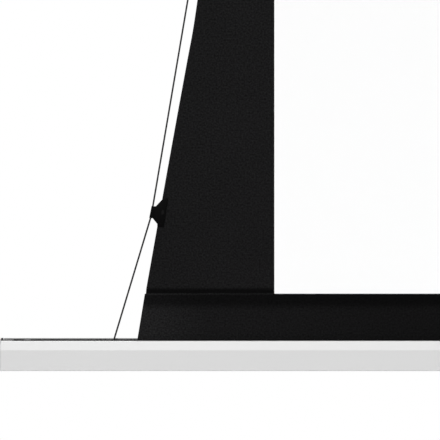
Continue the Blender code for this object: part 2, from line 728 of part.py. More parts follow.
def end_plate_outline(inset=0):
    """Inside of the case between its tongue and its slot lips."""
    gap = CLEARANCE + inset
    front = CASE_FRONT + CASE_WALL + gap
    back = CASE_BACK - CASE_WALL - gap
    top = -2 * CASE_WALL - CLEARANCE - gap
    bottom = -CASE_HEIGHT + CASE_SLOT_LIP + gap
    return [
        (front + CASE_FACET_SETBACK, top), (back, top), (back, bottom), (front, bottom),
        (front, -CASE_FACET_DROP),
    ]


def gland_spot():
    return CASE_BACK - GLAND_REAR_INSET, -GLAND_DROP


def make_case_ends():
    """Plastic end caps with a tongue inside the case, and the steel plates that carry the roller."""
    gland_y, gland_z = gland_spot()
    for side, word in SIDES:
        plate_out = side * (END_PLATE_X + END_PLATE_THICKNESS)
        start = side * (CASE_END + CLEARANCE)
        face = start + side * END_CAP_THICKNESS
        gland = circle(GLAND_BARREL + CLEARANCE, SMALL_STEPS, gland_y, gland_z)
        holes = [gland] if side == LEFT else []
        name = f"end_cap_{word}"
        cap = profile(name, [rounded(case_silhouette()), *holes], face, start)
        ring = [end_plate_outline(), end_plate_outline(END_CAP_TONGUE_WALL)]
        tongue_end = plate_out + side * CLEARANCE
        join(cap, profile(f"{name} tongue", ring, start + side * FUSE, tongue_end))
        finish(cap, WHITE_PLASTIC)
        name = f"end_plate_{word}"
        plate = profile(name, [end_plate_outline(), *holes], side * END_PLATE_X, plate_out)
        finish(plate, ZINC_STEEL)


def make_gland():
    """Cable gland in the left end cap: flange outside, barrel through the wall."""
    y, z = gland_spot()
    face = -(CASE_END + 2 * CLEARANCE + END_CAP_THICKNESS)
    barrel_end = face + 2 * CLEARANCE + END_CAP_THICKNESS + GLAND_FLANGE_LENGTH
    outer = face - GLAND_FLANGE_LENGTH
    bore = circle(GLAND_BORE, SMALL_STEPS)
    gland = profile("power_gland", [circle(GLAND_FLANGE, SMALL_STEPS), bore], outer, face, y, z)
    barrel = [circle(GLAND_BARREL, SMALL_STEPS), bore]
    join(gland, profile("power_gland barrel", barrel, face - FUSE, barrel_end, y, z))
    finish(gland, BLACK_PLASTIC)


def make_roller():
    """Keyed tube, the keeper rod in its keyway, and the turns of fabric that never leave it."""
    half = KEYWAY_WIDTH / 2
    bottom = ROLLER_RADIUS - KEYWAY_DEPTH
    outside = keyed_circle(ROLLER_RADIUS, half, bottom)
    inside = keyed_circle(ROLLER_RADIUS - ROLLER_WALL, half + ROLLER_WALL, bottom - ROLLER_WALL)
    roller = profile("roller_tube", [outside, inside], -ROLLER_END, ROLLER_END, ROLLER_Y, ROLLER_Z)
    fabric_reach = VIEW_EDGE + BORDER_AT_END
    keeper_radius = half - CLEARANCE
    keeper_z = ROLLER_Z + bottom + CLEARANCE + keeper_radius
    rod = [circle(keeper_radius, SMALL_STEPS)]
    keeper = profile("keeper_rod", rod, -fabric_reach, fabric_reach, ROLLER_Y, keeper_z)
    turns = [circle(WRAP_RADIUS), circle(ROLLER_RADIUS + CLEARANCE)]
    wraps = profile("fabric_turns", turns, -fabric_reach, fabric_reach, ROLLER_Y, ROLLER_Z)
    return [finish(roller, BARE_ALUMINIUM), finish(keeper, ROD_GLASSFIBRE), finish(wraps, BLACK_FABRIC)]


def keyed_plug(name, bore, start, end):
    """A plug that fills the roller's bore and fits round its keyway."""
    half = KEYWAY_WIDTH / 2 + ROLLER_WALL + CLEARANCE
    bottom = ROLLER_RADIUS - KEYWAY_DEPTH - ROLLER_WALL - CLEARANCE
    rim = keyed_circle(PLUG_RADIUS, half, bottom)
    return profile(name, [rim, circle(bore, SMALL_STEPS)], start, end, ROLLER_Y, ROLLER_Z)


def flanged_plug(name, bore, side, length):
    """A keyed plug with a flange between the roller's end and the part beside it."""
    start = side * (ROLLER_END + CLEARANCE)
    plug = keyed_plug(name, bore, start + side * FUSE, start - side * length)
    rim = [circle(ROLLER_RADIUS), circle(bore, SMALL_STEPS)]
    flange_end = start + side * FLANGE_THICKNESS
    join(plug, profile(f"{name} flange", rim, start, flange_end, ROLLER_Y, ROLLER_Z))
    return plug


def make_limit_screw(head, side, word):
    """Slotted stop screw in a blind hole in the underside of the motor head."""
    x = MOTOR_HEAD_X - MOTOR_HEAD_THICKNESS / 2
    y = ROLLER_Y + side * LIMIT_SCREW_SPACING / 2
    bottom = ROLLER_Z - MOTOR_HEAD_RADIUS - LIMIT_SCREW_PROUD
    middle = bottom + LIMIT_SCREW_LENGTH / 2
    hole = circle(LIMIT_SCREW_RADIUS + CLEARANCE, SMALL_STEPS)
    depth = LIMIT_SCREW_LENGTH + CLEARANCE
    cut(head, outline(f"limit hole {word}", [hole], depth, FLAT, (x, y, middle + CLEARANCE / 2)))
    rod = circle(LIMIT_SCREW_RADIUS, SMALL_STEPS)
    screw = outline(f"limit_screw_{word}", [rod], LIMIT_SCREW_LENGTH, FLAT, (x, y, middle))
    socket = hexagon(LIMIT_SOCKET)
    cut(screw, outline(f"limit socket {word}", [socket], 2 * LIMIT_SOCKET_DEPTH, FLAT, (x, y, bottom)))
    finish(screw, ZINC_STEEL)


def make_motor():
    """Tubular motor inside the roller: fixed head, tube, core and gearbox; turning crown, shaft and wheel."""
    stub = MOTOR_STUB / 2
    start = MOTOR_HEAD_X + CLEARANCE
    back = MOTOR_HEAD_X - MOTOR_HEAD_THICKNESS
    head = profile("motor_head", [circle(MOTOR_HEAD_RADIUS)], back, MOTOR_HEAD_X, ROLLER_Y, ROLLER_Z)
    square = [rectangle(-stub, -stub, stub, stub)]
    stub_end = MOTOR_STUB_SETBACK - BLOCK_OUTER_X
    join(head, profile("motor_head stub", square, back + FUSE, stub_end, ROLLER_Y, ROLLER_Z))
    make_limit_screw(head, LEFT, "up")
    make_limit_screw(head, RIGHT, "down")
    finish(head, BLACK_PLASTIC)
    end = start + MOTOR_LENGTH
    inner = MOTOR_RADIUS - MOTOR_WALL
    ring = [circle(MOTOR_RADIUS), circle(inner)]
    finish(profile("motor_tube", ring, start, end, ROLLER_Y, ROLLER_Z), ZINC_STEEL)
    core = [circle(inner - CLEARANCE)]
    spigot_start = end - GEARBOX_SPIGOT
    core_ends = start + CORE_SETBACK, spigot_start - CORE_GAP
    finish(profile("motor_core", core, *core_ends, ROLLER_Y, ROLLER_Z), DARK_STEEL)
    flange_start = end + CLEARANCE
    flange_end = flange_start + GEARBOX_FLANGE
    rim = [circle(MOTOR_RADIUS)]
    gearbox = profile("motor_gearbox", rim, flange_start, flange_end, ROLLER_Y, ROLLER_Z)
    join(gearbox, profile("gearbox spigot", core, spigot_start, flange_start + FUSE, ROLLER_Y, ROLLER_Z))
    finish(gearbox, DARK_STEEL)
    shaft_start = flange_end + CLEARANCE
    shaft_end = shaft_start + SHAFT_LENGTH
    rod = [circle(SHAFT_RADIUS, SMALL_STEPS)]
    shaft = profile("output_shaft", rod, shaft_start, shaft_end, ROLLER_Y, ROLLER_Z)
    wheel_start = (shaft_start + shaft_end - DRIVE_WHEEL_LENGTH) / 2
    wheel_end = wheel_start + DRIVE_WHEEL_LENGTH
    wheel = keyed_plug("drive_wheel", SHAFT_RADIUS + CLEARANCE, wheel_start, wheel_end)
    crown = flanged_plug("motor_crown", MOTOR_RADIUS + CLEARANCE, LEFT, CROWN_LENGTH)
    return [finish(shaft, ZINC_STEEL), finish(wheel, GREY_NYLON), finish(crown, GREY_NYLON)]


def make_brackets():
    """Blocks on the end plates: a square socket for the motor head, a bore for the idler pin."""
    half = BRACKET_BLOCK / 2
    square = rectangle(-half, -half, half, half)
    stub = MOTOR_STUB / 2 + CLEARANCE
    loops = [square, rectangle(-stub, -stub, stub, stub)]
    finish(profile("motor_bracket", loops, -BLOCK_OUTER_X, -BLOCK_INNER_X, ROLLER_Y, ROLLER_Z), ZINC_STEEL)
    loops = [square, circle(IDLER_PIN_RADIUS + CLEARANCE, SMALL_STEPS)]
    finish(profile("idler_bracket", loops, BLOCK_OUTER_X, BLOCK_INNER_X, ROLLER_Y, ROLLER_Z), ZINC_STEEL)


def make_idler():
    """Plug in the roller's right end, its bearing, and the fixed pin with its collar."""
    plug = flanged_plug("idler_plug", IDLER_PIN_RADIUS + 2 * CLEARANCE, RIGHT, IDLER_PLUG_LENGTH)
    face = ROLLER_END + CLEARANCE + FLANGE_THICKNESS
    seat = circle(BEARING_RADIUS + CLEARANCE)
    seat_end = face - BEARING_WIDTH - CLEARANCE
    cut(plug, profile("bearing seat", [seat], face + CUT_OVERRUN, seat_end, ROLLER_Y, ROLLER_Z))
    finish(plug, GREY_NYLON)
    ring = [circle(BEARING_RADIUS), circle(IDLER_PIN_RADIUS + CLEARANCE, SMALL_STEPS)]
    bearing = profile("idler_bearing", ring, face, face - BEARING_WIDTH, ROLLER_Y, ROLLER_Z)
    rod = [circle(IDLER_PIN_RADIUS, SMALL_STEPS)]
    pin_ends = seat_end - IDLER_PIN_TAIL, BLOCK_OUTER_X - CLEARANCE
    pin = profile("idler_pin", rod, *pin_ends, ROLLER_Y, ROLLER_Z)
    collar = [circle(IDLER_COLLAR_RADIUS, SMALL_STEPS)]
    collar_ends = face + CLEARANCE, BLOCK_INNER_X - CLEARANCE
    join(pin, profile("pin collar", collar, *collar_ends, ROLLER_Y, ROLLER_Z))
    finish(pin, ZINC_STEEL)
    return [plug, finish(bearing, ZINC_STEEL)]


def make_controls():
    """Receiver box on the back wall and the lead between it and the motor head."""
    back = CASE_BACK - CASE_WALL - CLEARANCE
    front = back - CONTROL_DEPTH
    left = -CASE_END + CONTROL_INSET
    low = (left, front, -CONTROL_DROP - CONTROL_HEIGHT)
    control = box("control_box", low, (left + CONTROL_LENGTH, back, -CONTROL_DROP))
    bevel = control.modifiers.new("edges", "BEVEL")
    bevel.width = CONTROL_EDGE
    bevel.segments = 2
    finish(control, BLACK_PLASTIC)
    x = MOTOR_HEAD_X - MOTOR_HEAD_THICKNESS / 2
    y, z = (front + back) / 2, -CONTROL_DROP - CONTROL_HEIGHT / 2
    start = Vector((x, ROLLER_Y + MOTOR_HEAD_RADIUS + CLEARANCE, ROLLER_Z))
    guides = Vector((x, y, ROLLER_Z)), Vector((x, y, z))
    route = interpolate_bezier(start, *guides, Vector((left - CLEARANCE, y, z)), LEAD_STEPS)
    finish(tube("motor_lead", route, LEAD_RADIUS), BLACK_PLASTIC)


def make_wall_bracket(side, word):
    """Steel angle on the case's rail, held by a T-bolt and a nut; its upright leg screws to the wall."""
    x = side * (CASE_END - WALL_BRACKET_INSET)
    half = WALL_BRACKET_WIDTH / 2
    under = RAIL_HEIGHT + CLEARANCE
    top = under + WALL_BRACKET_PLATE
    wall = CASE_BACK + CLEARANCE + WALL_BRACKET_PLATE
    leg = wall - WALL_BRACKET_PLATE
    front = -RAIL_WIDTH / 2 - WALL_BRACKET_FRONT_LIP
    angle = rounded([
        (front, under, 0), (wall, under, WALL_BRACKET_BEND + WALL_BRACKET_PLATE),
        (wall, WALL_BRACKET_RISE, 0), (leg, WALL_BRACKET_RISE, 0), (leg, top, WALL_BRACKET_BEND),
        (front, top, 0),
    ])
    bracket = profile(f"wall_bracket_{word}", [angle], x - half, x + half)
    slot_half = WALL_SLOT_WIDTH / 2
    low = (x - slot_half, leg - CUT_OVERRUN, WALL_SLOT_RISE - WALL_SLOT_HEIGHT / 2)
    high = (x + slot_half, wall + CUT_OVERRUN, WALL_SLOT_RISE + WALL_SLOT_HEIGHT / 2)
    cut(bracket, box(f"wall slot {word}", low, high))
    hole = circle(RAIL_BOLT_RADIUS + CLEARANCE, SMALL_STEPS)
    depth = WALL_BRACKET_PLATE + 2 * CUT_OVERRUN
    cut(bracket, outline(f"bolt hole {word}", [hole], depth, FLAT, (x, 0, (under + top) / 2)))
    finish(bracket, ZINC_STEEL)
    head_half = RAIL_BOLT_HEAD_LENGTH / 2
    head_reach = RAIL_WIDTH / 2 - RAIL_WALL - CLEARANCE
    head_top = RAIL_HEIGHT - RAIL_FLANGE - CLEARANCE
    low = (x - head_half, -head_reach, RAIL_BOLT_FLOOR_GAP)
    bolt = box(f"rail_bolt_{word}", low, (x + head_half, head_reach, head_top))
    rod = [circle(RAIL_BOLT_RADIUS, SMALL_STEPS)]
    shank_low, shank_high = (RAIL_BOLT_FLOOR_GAP + head_top) / 2, top + RAIL_BOLT_TAIL
    place = (x, 0, (shank_low + shank_high) / 2)
    join(bolt, outline(f"bolt shank {word}", rod, shank_high - shank_low, FLAT, place))
    finish(bolt, ZINC_STEEL)
    loops = [hexagon(CLAMP_NUT_RADIUS), circle(RAIL_BOLT_RADIUS + CLEARANCE, SMALL_STEPS)]
    place = (x, 0, top + CLEARANCE + CLAMP_NUT_HEIGHT / 2)
    nut = outline(f"clamp_nut_{word}", loops, CLAMP_NUT_HEIGHT, FLAT, place)
    finish(nut, ZINC_STEEL)
    return carrier(f"bracket_slide_{word}", (x, 0, under)), [bracket, bolt, nut]


def build():
    make_fabric()
    make_cables()
    make_case_back()
    make_case_front()
    make_case_ends()
    make_gland()
    make_controls()
    make_brackets()
    roller_axis = carrier("roller_axis", (0, ROLLER_Y, ROLLER_Z))
    carry(roller_axis, *make_roller(), *make_motor(), *make_idler())
    bar_carrier = carrier("bar_carrier", (0, FABRIC_Y, BAR_TOP))
    carry(bar_carrier, *make_bar(), *make_hem())
    for side, word in SIDES:
        carry(bar_carrier, make_bar_cap(side, word), *make_tension(side, word))
        slide, pieces = make_wall_bracket(side, word)
        carry(slide, *pieces)


build()
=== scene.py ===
"""Looks of an electric projection screen with side tension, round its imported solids."""
import json
import math

import bmesh
import bpy
from mathutils import Matrix, Vector


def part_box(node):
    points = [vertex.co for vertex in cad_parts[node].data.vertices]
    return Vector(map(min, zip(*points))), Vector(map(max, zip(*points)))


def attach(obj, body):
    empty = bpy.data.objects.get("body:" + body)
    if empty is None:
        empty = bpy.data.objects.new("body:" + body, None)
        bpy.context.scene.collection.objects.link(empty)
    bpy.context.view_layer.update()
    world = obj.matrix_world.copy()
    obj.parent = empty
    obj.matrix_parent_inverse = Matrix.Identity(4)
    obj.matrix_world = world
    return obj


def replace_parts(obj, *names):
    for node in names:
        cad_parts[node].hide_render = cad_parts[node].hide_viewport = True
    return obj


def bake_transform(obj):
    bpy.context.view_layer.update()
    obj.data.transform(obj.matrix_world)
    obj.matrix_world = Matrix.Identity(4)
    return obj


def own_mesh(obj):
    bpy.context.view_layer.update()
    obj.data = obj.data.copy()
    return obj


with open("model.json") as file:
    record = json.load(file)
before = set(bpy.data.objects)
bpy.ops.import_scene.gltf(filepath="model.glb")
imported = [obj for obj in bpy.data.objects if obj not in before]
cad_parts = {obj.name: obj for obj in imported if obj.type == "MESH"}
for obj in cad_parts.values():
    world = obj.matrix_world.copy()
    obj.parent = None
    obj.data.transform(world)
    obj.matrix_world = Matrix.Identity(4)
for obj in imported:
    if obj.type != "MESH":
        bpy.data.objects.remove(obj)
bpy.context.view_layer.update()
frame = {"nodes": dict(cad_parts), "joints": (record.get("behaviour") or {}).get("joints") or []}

# The photograph: a close view of the screen's lower left corner, taken square on and
# level from 1.1 m. The camera looks along +Y at the plane of the fabric.
PHOTO_MIDDLE_X = -1.1727
PHOTO_MIDDLE_Z = -1.5838
PHOTO_DISTANCE = 1.1
PHOTO_WIDTH = 0.5333

picture_low, picture_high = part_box("viewing_fabric")
fabric_y = (picture_low.y + picture_high.y) / 2
lens = bpy.data.cameras.new("photo_camera")
lens.lens = lens.sensor_width * PHOTO_DISTANCE / PHOTO_WIDTH
camera = bpy.data.objects.new("photo_camera", lens)
camera.location = (PHOTO_MIDDLE_X, fabric_y - PHOTO_DISTANCE, PHOTO_MIDDLE_Z)
camera.rotation_euler = (math.radians(90), 0, 0)
bpy.context.scene.collection.objects.link(camera)
bpy.context.scene.camera = camera
bpy.context.scene.view_settings.view_transform = "Standard"


# The studio: a pale floor under the hanging screen that fades to white far away, a white
# surround, a wide lamp in front and above, and a weaker one behind.
class Wire:
    """A value in a shader: sums and products on it add the Math nodes that work them out."""

    def __init__(self, shader, socket):
        self.shader, self.socket = shader, socket

    def maths(self, operation, *others):
        values = dict(enumerate((self, *others)))
        return self.shader.node("ShaderNodeMath", {"operation": operation}, values)

    def __add__(self, other):
        return self.maths("ADD", other)

    def __sub__(self, other):
        return self.maths("SUBTRACT", other)

    def __rsub__(self, other):
        return self.shader.node("ShaderNodeMath", {"operation": "SUBTRACT"}, {0: other, 1: self})

    def __mul__(self, other):
        return self.maths("MULTIPLY", other)

    def __truediv__(self, other):
        return self.maths("DIVIDE", other)

    def __abs__(self):
        return self.maths("ABSOLUTE")

    __radd__, __rmul__ = __add__, __mul__


class Shader:
    """The node tree of a material or of the world."""

    def __init__(self, owner):
        owner.use_nodes = True
        self.tree = owner.node_tree

    def feed(self, socket, value):
        if isinstance(value, Wire):
            self.tree.links.new(value.socket, socket)
        else:
            socket.default_value = value

    def node(self, kind, settings=(), sockets=(), output=0):
        made = self.tree.nodes.new(kind)
        for name, value in dict(settings).items():
            setattr(made, name, value)
        for name, value in dict(sockets).items():
            self.feed(made.inputs[name], value)
        return Wire(self, made.outputs[output])

    def rise(self, value, start, end, low=0.0, high=1.0):
        """A smooth step from low to high as the value goes from start to end."""
        sockets = {"Value": value, "From Min": start, "From Max": end, "To Min": low, "To Max": high}
        return self.node("ShaderNodeMapRange", {"interpolation_type": "SMOOTHSTEP"}, sockets)

    def mixed(self, share, first, second):
        """A colour between two colours."""
        sockets = {0: share, 6: first, 7: second}
        return self.node("ShaderNodeMix", {"data_type": "RGBA"}, sockets, 2)

    def axes(self, vector):
        """The three numbers of a vector."""
        return [self.node("ShaderNodeSeparateXYZ", (), {0: vector}, axis) for axis in range(3)]

    def seen_directly(self):
        """1 for what the camera, a reflection or a clear part sees, 0 for light on the object."""
        rays = ("Is Camera Ray", "Is Glossy Ray", "Is Transmission Ray")
        camera_ray, glossy_ray, clear_ray = [self.node("ShaderNodeLightPath", output=ray) for ray in rays]
        return camera_ray + glossy_ray + clear_ray


class Finish(Shader):
    """A material on one Principled shader, whose even values sit on its own sockets."""

    def __init__(self, name, **even):
        self.material = bpy.data.materials.new(name)
        super().__init__(self.material)
        self.shader = self.tree.nodes["Principled BSDF"]
        self.vary(**even)

    def vary(self, **values):
        for name, value in values.items():
            socket = name.replace("_", " ").title().replace("Ior", "IOR")
            self.feed(self.shader.inputs[socket], value)

    def spot(self, stretch=(1, 1, 1), source="Object"):
        """Where a point lies on the piece, in metres. A stretch below 1 draws a pattern out."""
        place = self.node("ShaderNodeTexCoord", output=source)
        return self.node("ShaderNodeMapping", (), {"Vector": place, "Scale": stretch})

    def grain(self, size, spot=None, detail=2.0):
        """Noise from 0 to 1, whose patches are about that size."""
        sockets = {"Vector": spot or self.spot(), "Scale": 1 / size, "Detail": detail}
        return self.node("ShaderNodeTexNoise", (), sockets)

    def relief(self, height, depth, strength=1.0):
        """A fine surface relief from a height between 0 and 1."""
        sockets = {"Strength": strength, "Distance": depth, "Height": height}
        self.vary(Normal=self.node("ShaderNodeBump", (), sockets))


def grey(level):
    """A neutral colour."""
    return level, level, level, 1


ROOM_LIGHT = 0.16
FLOOR_HEIGHT = -2.4
FLOOR_HALF = 14
FLOOR_CELLS = 4
FLOOR_FADE = (1.2, 2.2)
FADE_LENGTHWAYS_SHARE = 0.4
FLOOR_PATCH = 0.4
FLOOR_BOUNCE = 0.50
PALE_FLOOR = (grey(0.86), grey(0.89))

world = bpy.data.worlds.new("studio")
bpy.context.scene.world = world
surround = Shader(world)
background = world.node_tree.nodes["Background"]
background.inputs["Color"].default_value = grey(1)
surround.feed(background.inputs["Strength"], ROOM_LIGHT + (1 - ROOM_LIGHT) * surround.seen_directly())

floor_shape = bmesh.new()
bmesh.ops.create_grid(
    floor_shape, x_segments=FLOOR_CELLS, y_segments=FLOOR_CELLS, size=FLOOR_HALF,
    matrix=Matrix.Translation((0, 0, FLOOR_HEIGHT)),
)
floor_mesh = bpy.data.meshes.new("studio_floor")
floor_shape.to_mesh(floor_mesh)
floor_shape.free()
floor = bpy.data.objects.new("studio_floor", floor_mesh)
bpy.context.scene.collection.objects.link(floor)
floor_paint = Finish("studio floor", Roughness=0.8)
floor_x, floor_y, _ = floor_paint.axes(floor_paint.spot())
away = (floor_x * floor_x * FADE_LENGTHWAYS_SHARE + floor_y * floor_y).maths("SQRT")
floor_tone = floor_paint.mixed(floor_paint.grain(FLOOR_PATCH), *PALE_FLOOR)
floor_paint.vary(
    Base_Color=floor_paint.mixed(floor_paint.seen_directly(), grey(FLOOR_BOUNCE), floor_tone))
glow = floor_paint.node("ShaderNodeEmission")
far = floor_paint.rise(away, *FLOOR_FADE) * floor_paint.seen_directly()
floor_light = Wire(floor_paint, floor_paint.shader.outputs[0])
faded = floor_paint.node("ShaderNodeMixShader", (), {0: far, 1: floor_light, 2: glow})
floor_paint.feed(floor_paint.tree.nodes["Material Output"].inputs["Surface"], faded)
floor_mesh.materials.append(floor_paint.material)


def hang_lamp(name, azimuth, elevation, strength, spread):
    """A far, wide lamp that shines from a compass angle round the screen and a height angle."""
    data = bpy.data.lights.new(name, "SUN")
    data.energy, data.angle = strength, math.radians(spread)
    lamp = bpy.data.objects.new(name, data)
    turn, rise = math.radians(azimuth), math.radians(elevation)
    level = math.cos(rise)
    towards = Vector((math.sin(turn) * level, -math.cos(turn) * level, math.sin(rise)))
    lamp.rotation_euler = towards.to_track_quat("Z", "Y").to_euler()
    bpy.context.scene.collection.objects.link(lamp)


hang_lamp("front_lamp", azimuth=-12, elevation=45, strength=3.01, spread=25)
hang_lamp("rear_lamp", azimuth=155, elevation=35, strength=1.3, spread=40)


# The screen fabric: one sheet of soft plastic, matt white in the middle, with black
# borders printed on it. Its outer edges flare out towards the bar and towards the roller.
SIDES = ((-1, "left"), (1, "right"))
SMOOTH_ANGLE = math.radians(35)
MERGE_DISTANCE = 0.00001
FABRIC_THICKNESS = 0.0005
SURFACE_CELLS = (30, 20)
BORDER_COLUMNS = 8
DROP_COLUMNS = 40
ROW_HEIGHT = 0.012
WELD_LAP = 0.006
SCREEN_CLOUD = 0.35
SCREEN_GRAIN = 0.0006
WEAVE_RATE = 7400.0


def add_piece(name, shape, finish, smooth=SMOOTH_ANGLE):
    """A finished bmesh as an object of the screen, with its material."""
    mesh = bpy.data.meshes.new(name)
    shape.to_mesh(mesh)
    shape.free()
    mesh.materials.append(finish.material)
    mesh.shade_smooth()
    mesh.set_sharp_from_angle(angle=smooth)
    piece = bpy.data.objects.new(name, mesh)
    bpy.context.scene.collection.objects.link(piece)
    return piece


def lay_grid(across, up, place, flat, closed=False):
    """A unit grid whose points go where place() says, from their shares across and up.

    flat() gives a point's place on the flat material in metres, kept as the map "flat".
    """
    shape = bmesh.new()
    bmesh.ops.create_grid(shape, x_segments=across, y_segments=up, size=0.5)
    layer = shape.loops.layers.uv.new("flat")
    for face in shape.faces:
        for corner in face.loops:
            corner[layer].uv = flat(corner.vert.co.x + 0.5, corner.vert.co.y + 0.5)
    for vertex in shape.verts:
        vertex.co = place(vertex.co.x + 0.5, vertex.co.y + 0.5)
    if closed:
        bmesh.ops.remove_doubles(shape, verts=shape.verts, dist=MERGE_DISTANCE)
        bmesh.ops.recalc_face_normals(shape, faces=shape.faces)
    return shape


def outer_edge(*nodes):
    """Half widths of the black border at the heights where the solids' outlines bend."""
    spots = {}
    for name in nodes:
        for vertex in frame["nodes"][name].data.vertices:
            height = round(vertex.co.z, 4)
            spots[height] = max(spots.get(height, 0), abs(vertex.co.x))
    return sorted(spots.items())


def along_edge(table, height):
    """Reads a table of (height, half width) on a smooth curve through its points."""
    height = min(max(height, table[0][0]), table[-1][0])
    after = next(index for index in range(1, len(table)) if height <= table[index][0])

    def slope(index):
        low, high = max(index - 1, 0), min(index + 1, len(table) - 1)
        return (table[high][1] - table[low][1]) / (table[high][0] - table[low][0])

    (low, first), (high, second) = table[after - 1], table[after]
    span = high - low
    share = (height - low) / span
    ease = share * share * (3 - 2 * share)
    return (
        first + (second - first) * ease
        + slope(after - 1) * span * share * (1 - share) ** 2
        - slope(after) * span * share * share * (1 - share)
    )


def thicken(shape, thickness):
    """Gives a sheet its thickness, evenly to both sides."""
    shape.normal_update()
    moves = [(vertex, vertex.normal * thickness / 2) for vertex in shape.verts]
    for vertex, move in moves:
        vertex.co += move
    bmesh.ops.solidify(shape, geom=shape.faces, thickness=thickness)
    bmesh.ops.recalc_face_normals(shape, faces=shape.faces)
    return shape


def roll_up(piece, below=0.0):
    """Attaches a hanging piece to the case and gives it a mesh of its own; below only enters a share that
    nothing uses.
    """
    level = roller_z - below
    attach(piece, "case")
    keep = 1 - lift / (level - bar_high.z)
    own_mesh(piece)


def mean_half_width(table, low, high, rows):
    """Mean half width of a sheet between two heights, read in the middle of its rows."""
    middles = [low + (high - low) * (row + 0.5) / rows for row in range(rows)]
    return sum(along_edge(table, middle) for middle in middles) / rows


roller_low, roller_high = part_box("roller_tube")
roller_y, roller_z = (roller_low.y + roller_high.y) / 2, (roller_low.z + roller_high.z) / 2
bar_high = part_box("bar_profile")[1]
lift = next(joint for joint in frame["joints"] if joint["name"] == "bar_lift")["range_m"][1]
strip_low, strip_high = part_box("bottom_border")
seam_z = strip_high.z
view_edge = picture_high.x
view_top = picture_high.z

white_screen = Finish("matt white screen", Roughness=0.92, Specular_IOR_Level=0.25)
screen_cloud = white_screen.grain(SCREEN_CLOUD, white_screen.spot(source="UV"))
white_screen.vary(Base_Color=white_screen.mixed(screen_cloud, grey(0.958), grey(0.968)))
white_screen.relief(white_screen.grain(SCREEN_GRAIN, white_screen.spot(source="UV")), 0.00003)

# Where the black print's tone changes: from a first to a second place in metres, above the
# seam or out from the middle, and the tone at each, or 0 and 1.
ON_BORDER = (-0.0001, 0.0001)
# The border darker in a band just above the seam.
DARK_BAND_ABOVE_SEAM = (0.0040, 0.0088, 0.20, 1.0)
# Painted highlight: a bright line on the border just above the strip's top edge.
SEAM_EDGE_HIGHLIGHT = (0.0012, 0.0006, 0.0, 0.5)
# Painted highlight: the strip bright along its top edge, then darker in a band below it.
STRIP_TOP_HIGHLIGHT_AND_BAND = (-0.0006, -0.0014, 1.10, 0.38)
# The strip lighter towards its foot.
STRIP_FOOT = (-0.009, -0.022, 0.0, 0.60)
# Painted sheen: the strip lighter towards its ends.
STRIP_END_SHEEN = (0.90, 1.22, 0.55, 0.86)
# Painted sheen: the strip lighter still at its outer tips.
STRIP_TIP_SHEEN = (1.18, 1.275, 0.0, 0.62)
# The border a little darker towards the seam.
LOW_BORDER = (0.09, 0.20, 0.94, 1.0)
PRINT_SPECKLE = 0.0021
PRINT_PATCH = 0.05


def make_black_screen():
    """Black print with a fine grain, darker in a band along the strip's seam and lighter towards its
    foot, with painted highlights along the seam's edge and painted sheen towards the strip's ends.
    """
    black = Finish("matt black border", Roughness=0.80, Specular_IOR_Level=0.03)
    across, up, _ = black.axes(black.spot(source="UV"))
    above = up - seam_z
    on_border = black.rise(above, *ON_BORDER)
    border_tone = black.rise(above, *DARK_BAND_ABOVE_SEAM) + black.rise(above, *SEAM_EDGE_HIGHLIGHT)
    border_tone = border_tone * black.rise(above, *LOW_BORDER)
    strip_tone = black.rise(above, *STRIP_TOP_HIGHLIGHT_AND_BAND) + black.rise(above, *STRIP_FOOT)
    strip_tone = strip_tone * (black.rise(abs(across), *STRIP_END_SHEEN) + black.rise(abs(across), *STRIP_TIP_SHEEN))
    tone = on_border * border_tone + (1 - on_border) * strip_tone
    speckle = black.grain(PRINT_SPECKLE, black.spot(source="UV"), 4.0)
    patch = black.grain(PRINT_PATCH, black.spot(source="UV"))
    tone = tone * (3.2 * speckle + 0.2 * patch - 0.7)
    black.vary(Base_Color=black.mixed(tone * 0.5, grey(0), (0.0165, 0.0165, 0.0170, 1)))
    weave = (across * WEAVE_RATE).maths("SINE") * (up * WEAVE_RATE).maths("SINE")
    black.relief(0.5 + 0.25 * weave + 0.5 * speckle, 0.00004)
    return black


black_screen = make_black_screen()


def hang_fabric():
    """Viewing surface, side borders and top drop, each in its own solid's place."""
    border_edge = outer_edge("side_border_left", "top_drop")
    low, high = seam_z - WELD_LAP, view_top

    def flat_surface(share, up):
        return (2 * share - 1) * view_edge, low + (high - low) * up

    def place_surface(share, up):
        across, height = flat_surface(share, up)
        return Vector((across, fabric_y, height))

    shape = lay_grid(*SURFACE_CELLS, place_surface, flat_surface)
    surface = add_piece("viewing_surface", thicken(shape, FABRIC_THICKNESS), white_screen)
    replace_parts(surface, "viewing_fabric")
    sheets = [surface]
    rows = round((high - low) / ROW_HEIGHT)
    for side, word in SIDES:

        def flat(share, up):
            height = low + (high - low) * up
            share = 1 - share if side < 0 else share
            return side * (view_edge + share * (along_edge(border_edge, height) - view_edge)), height

        def place(share, up):
            across, height = flat(share, up)
            return Vector((across, fabric_y, height))

        shape = thicken(lay_grid(BORDER_COLUMNS, rows, place, flat), FABRIC_THICKNESS)
        border = add_piece(f"black_border_{word}", shape, black_screen)
        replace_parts(border, f"side_border_{word}")
        mean = mean_half_width(border_edge, low, high, rows) - view_edge
        widest = along_edge(border_edge, low) - view_edge
        mean * (high - low)
        sheets.append(border)
    low, high = view_top, roller_z
    rows = round((high - low) / ROW_HEIGHT)

    def flat_drop(share, up):
        height = low + (high - low) * up
        return (2 * share - 1) * along_edge(border_edge, height), height

    def place_drop(share, up):
        across, height = flat_drop(share, up)
        return Vector((across, fabric_y, height))

    shape = thicken(lay_grid(DROP_COLUMNS, rows, place_drop, flat_drop), FABRIC_THICKNESS)
    drop = add_piece("black_top_drop", shape, black_screen)
    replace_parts(drop, "top_drop")
    widest = 2 * border_edge[-1][1]
    2 * mean_half_width(border_edge, low, high, rows) * (high - low)
    sheets.append(drop)
    for sheet in sheets:
        roll_up(sheet)


hang_fabric()


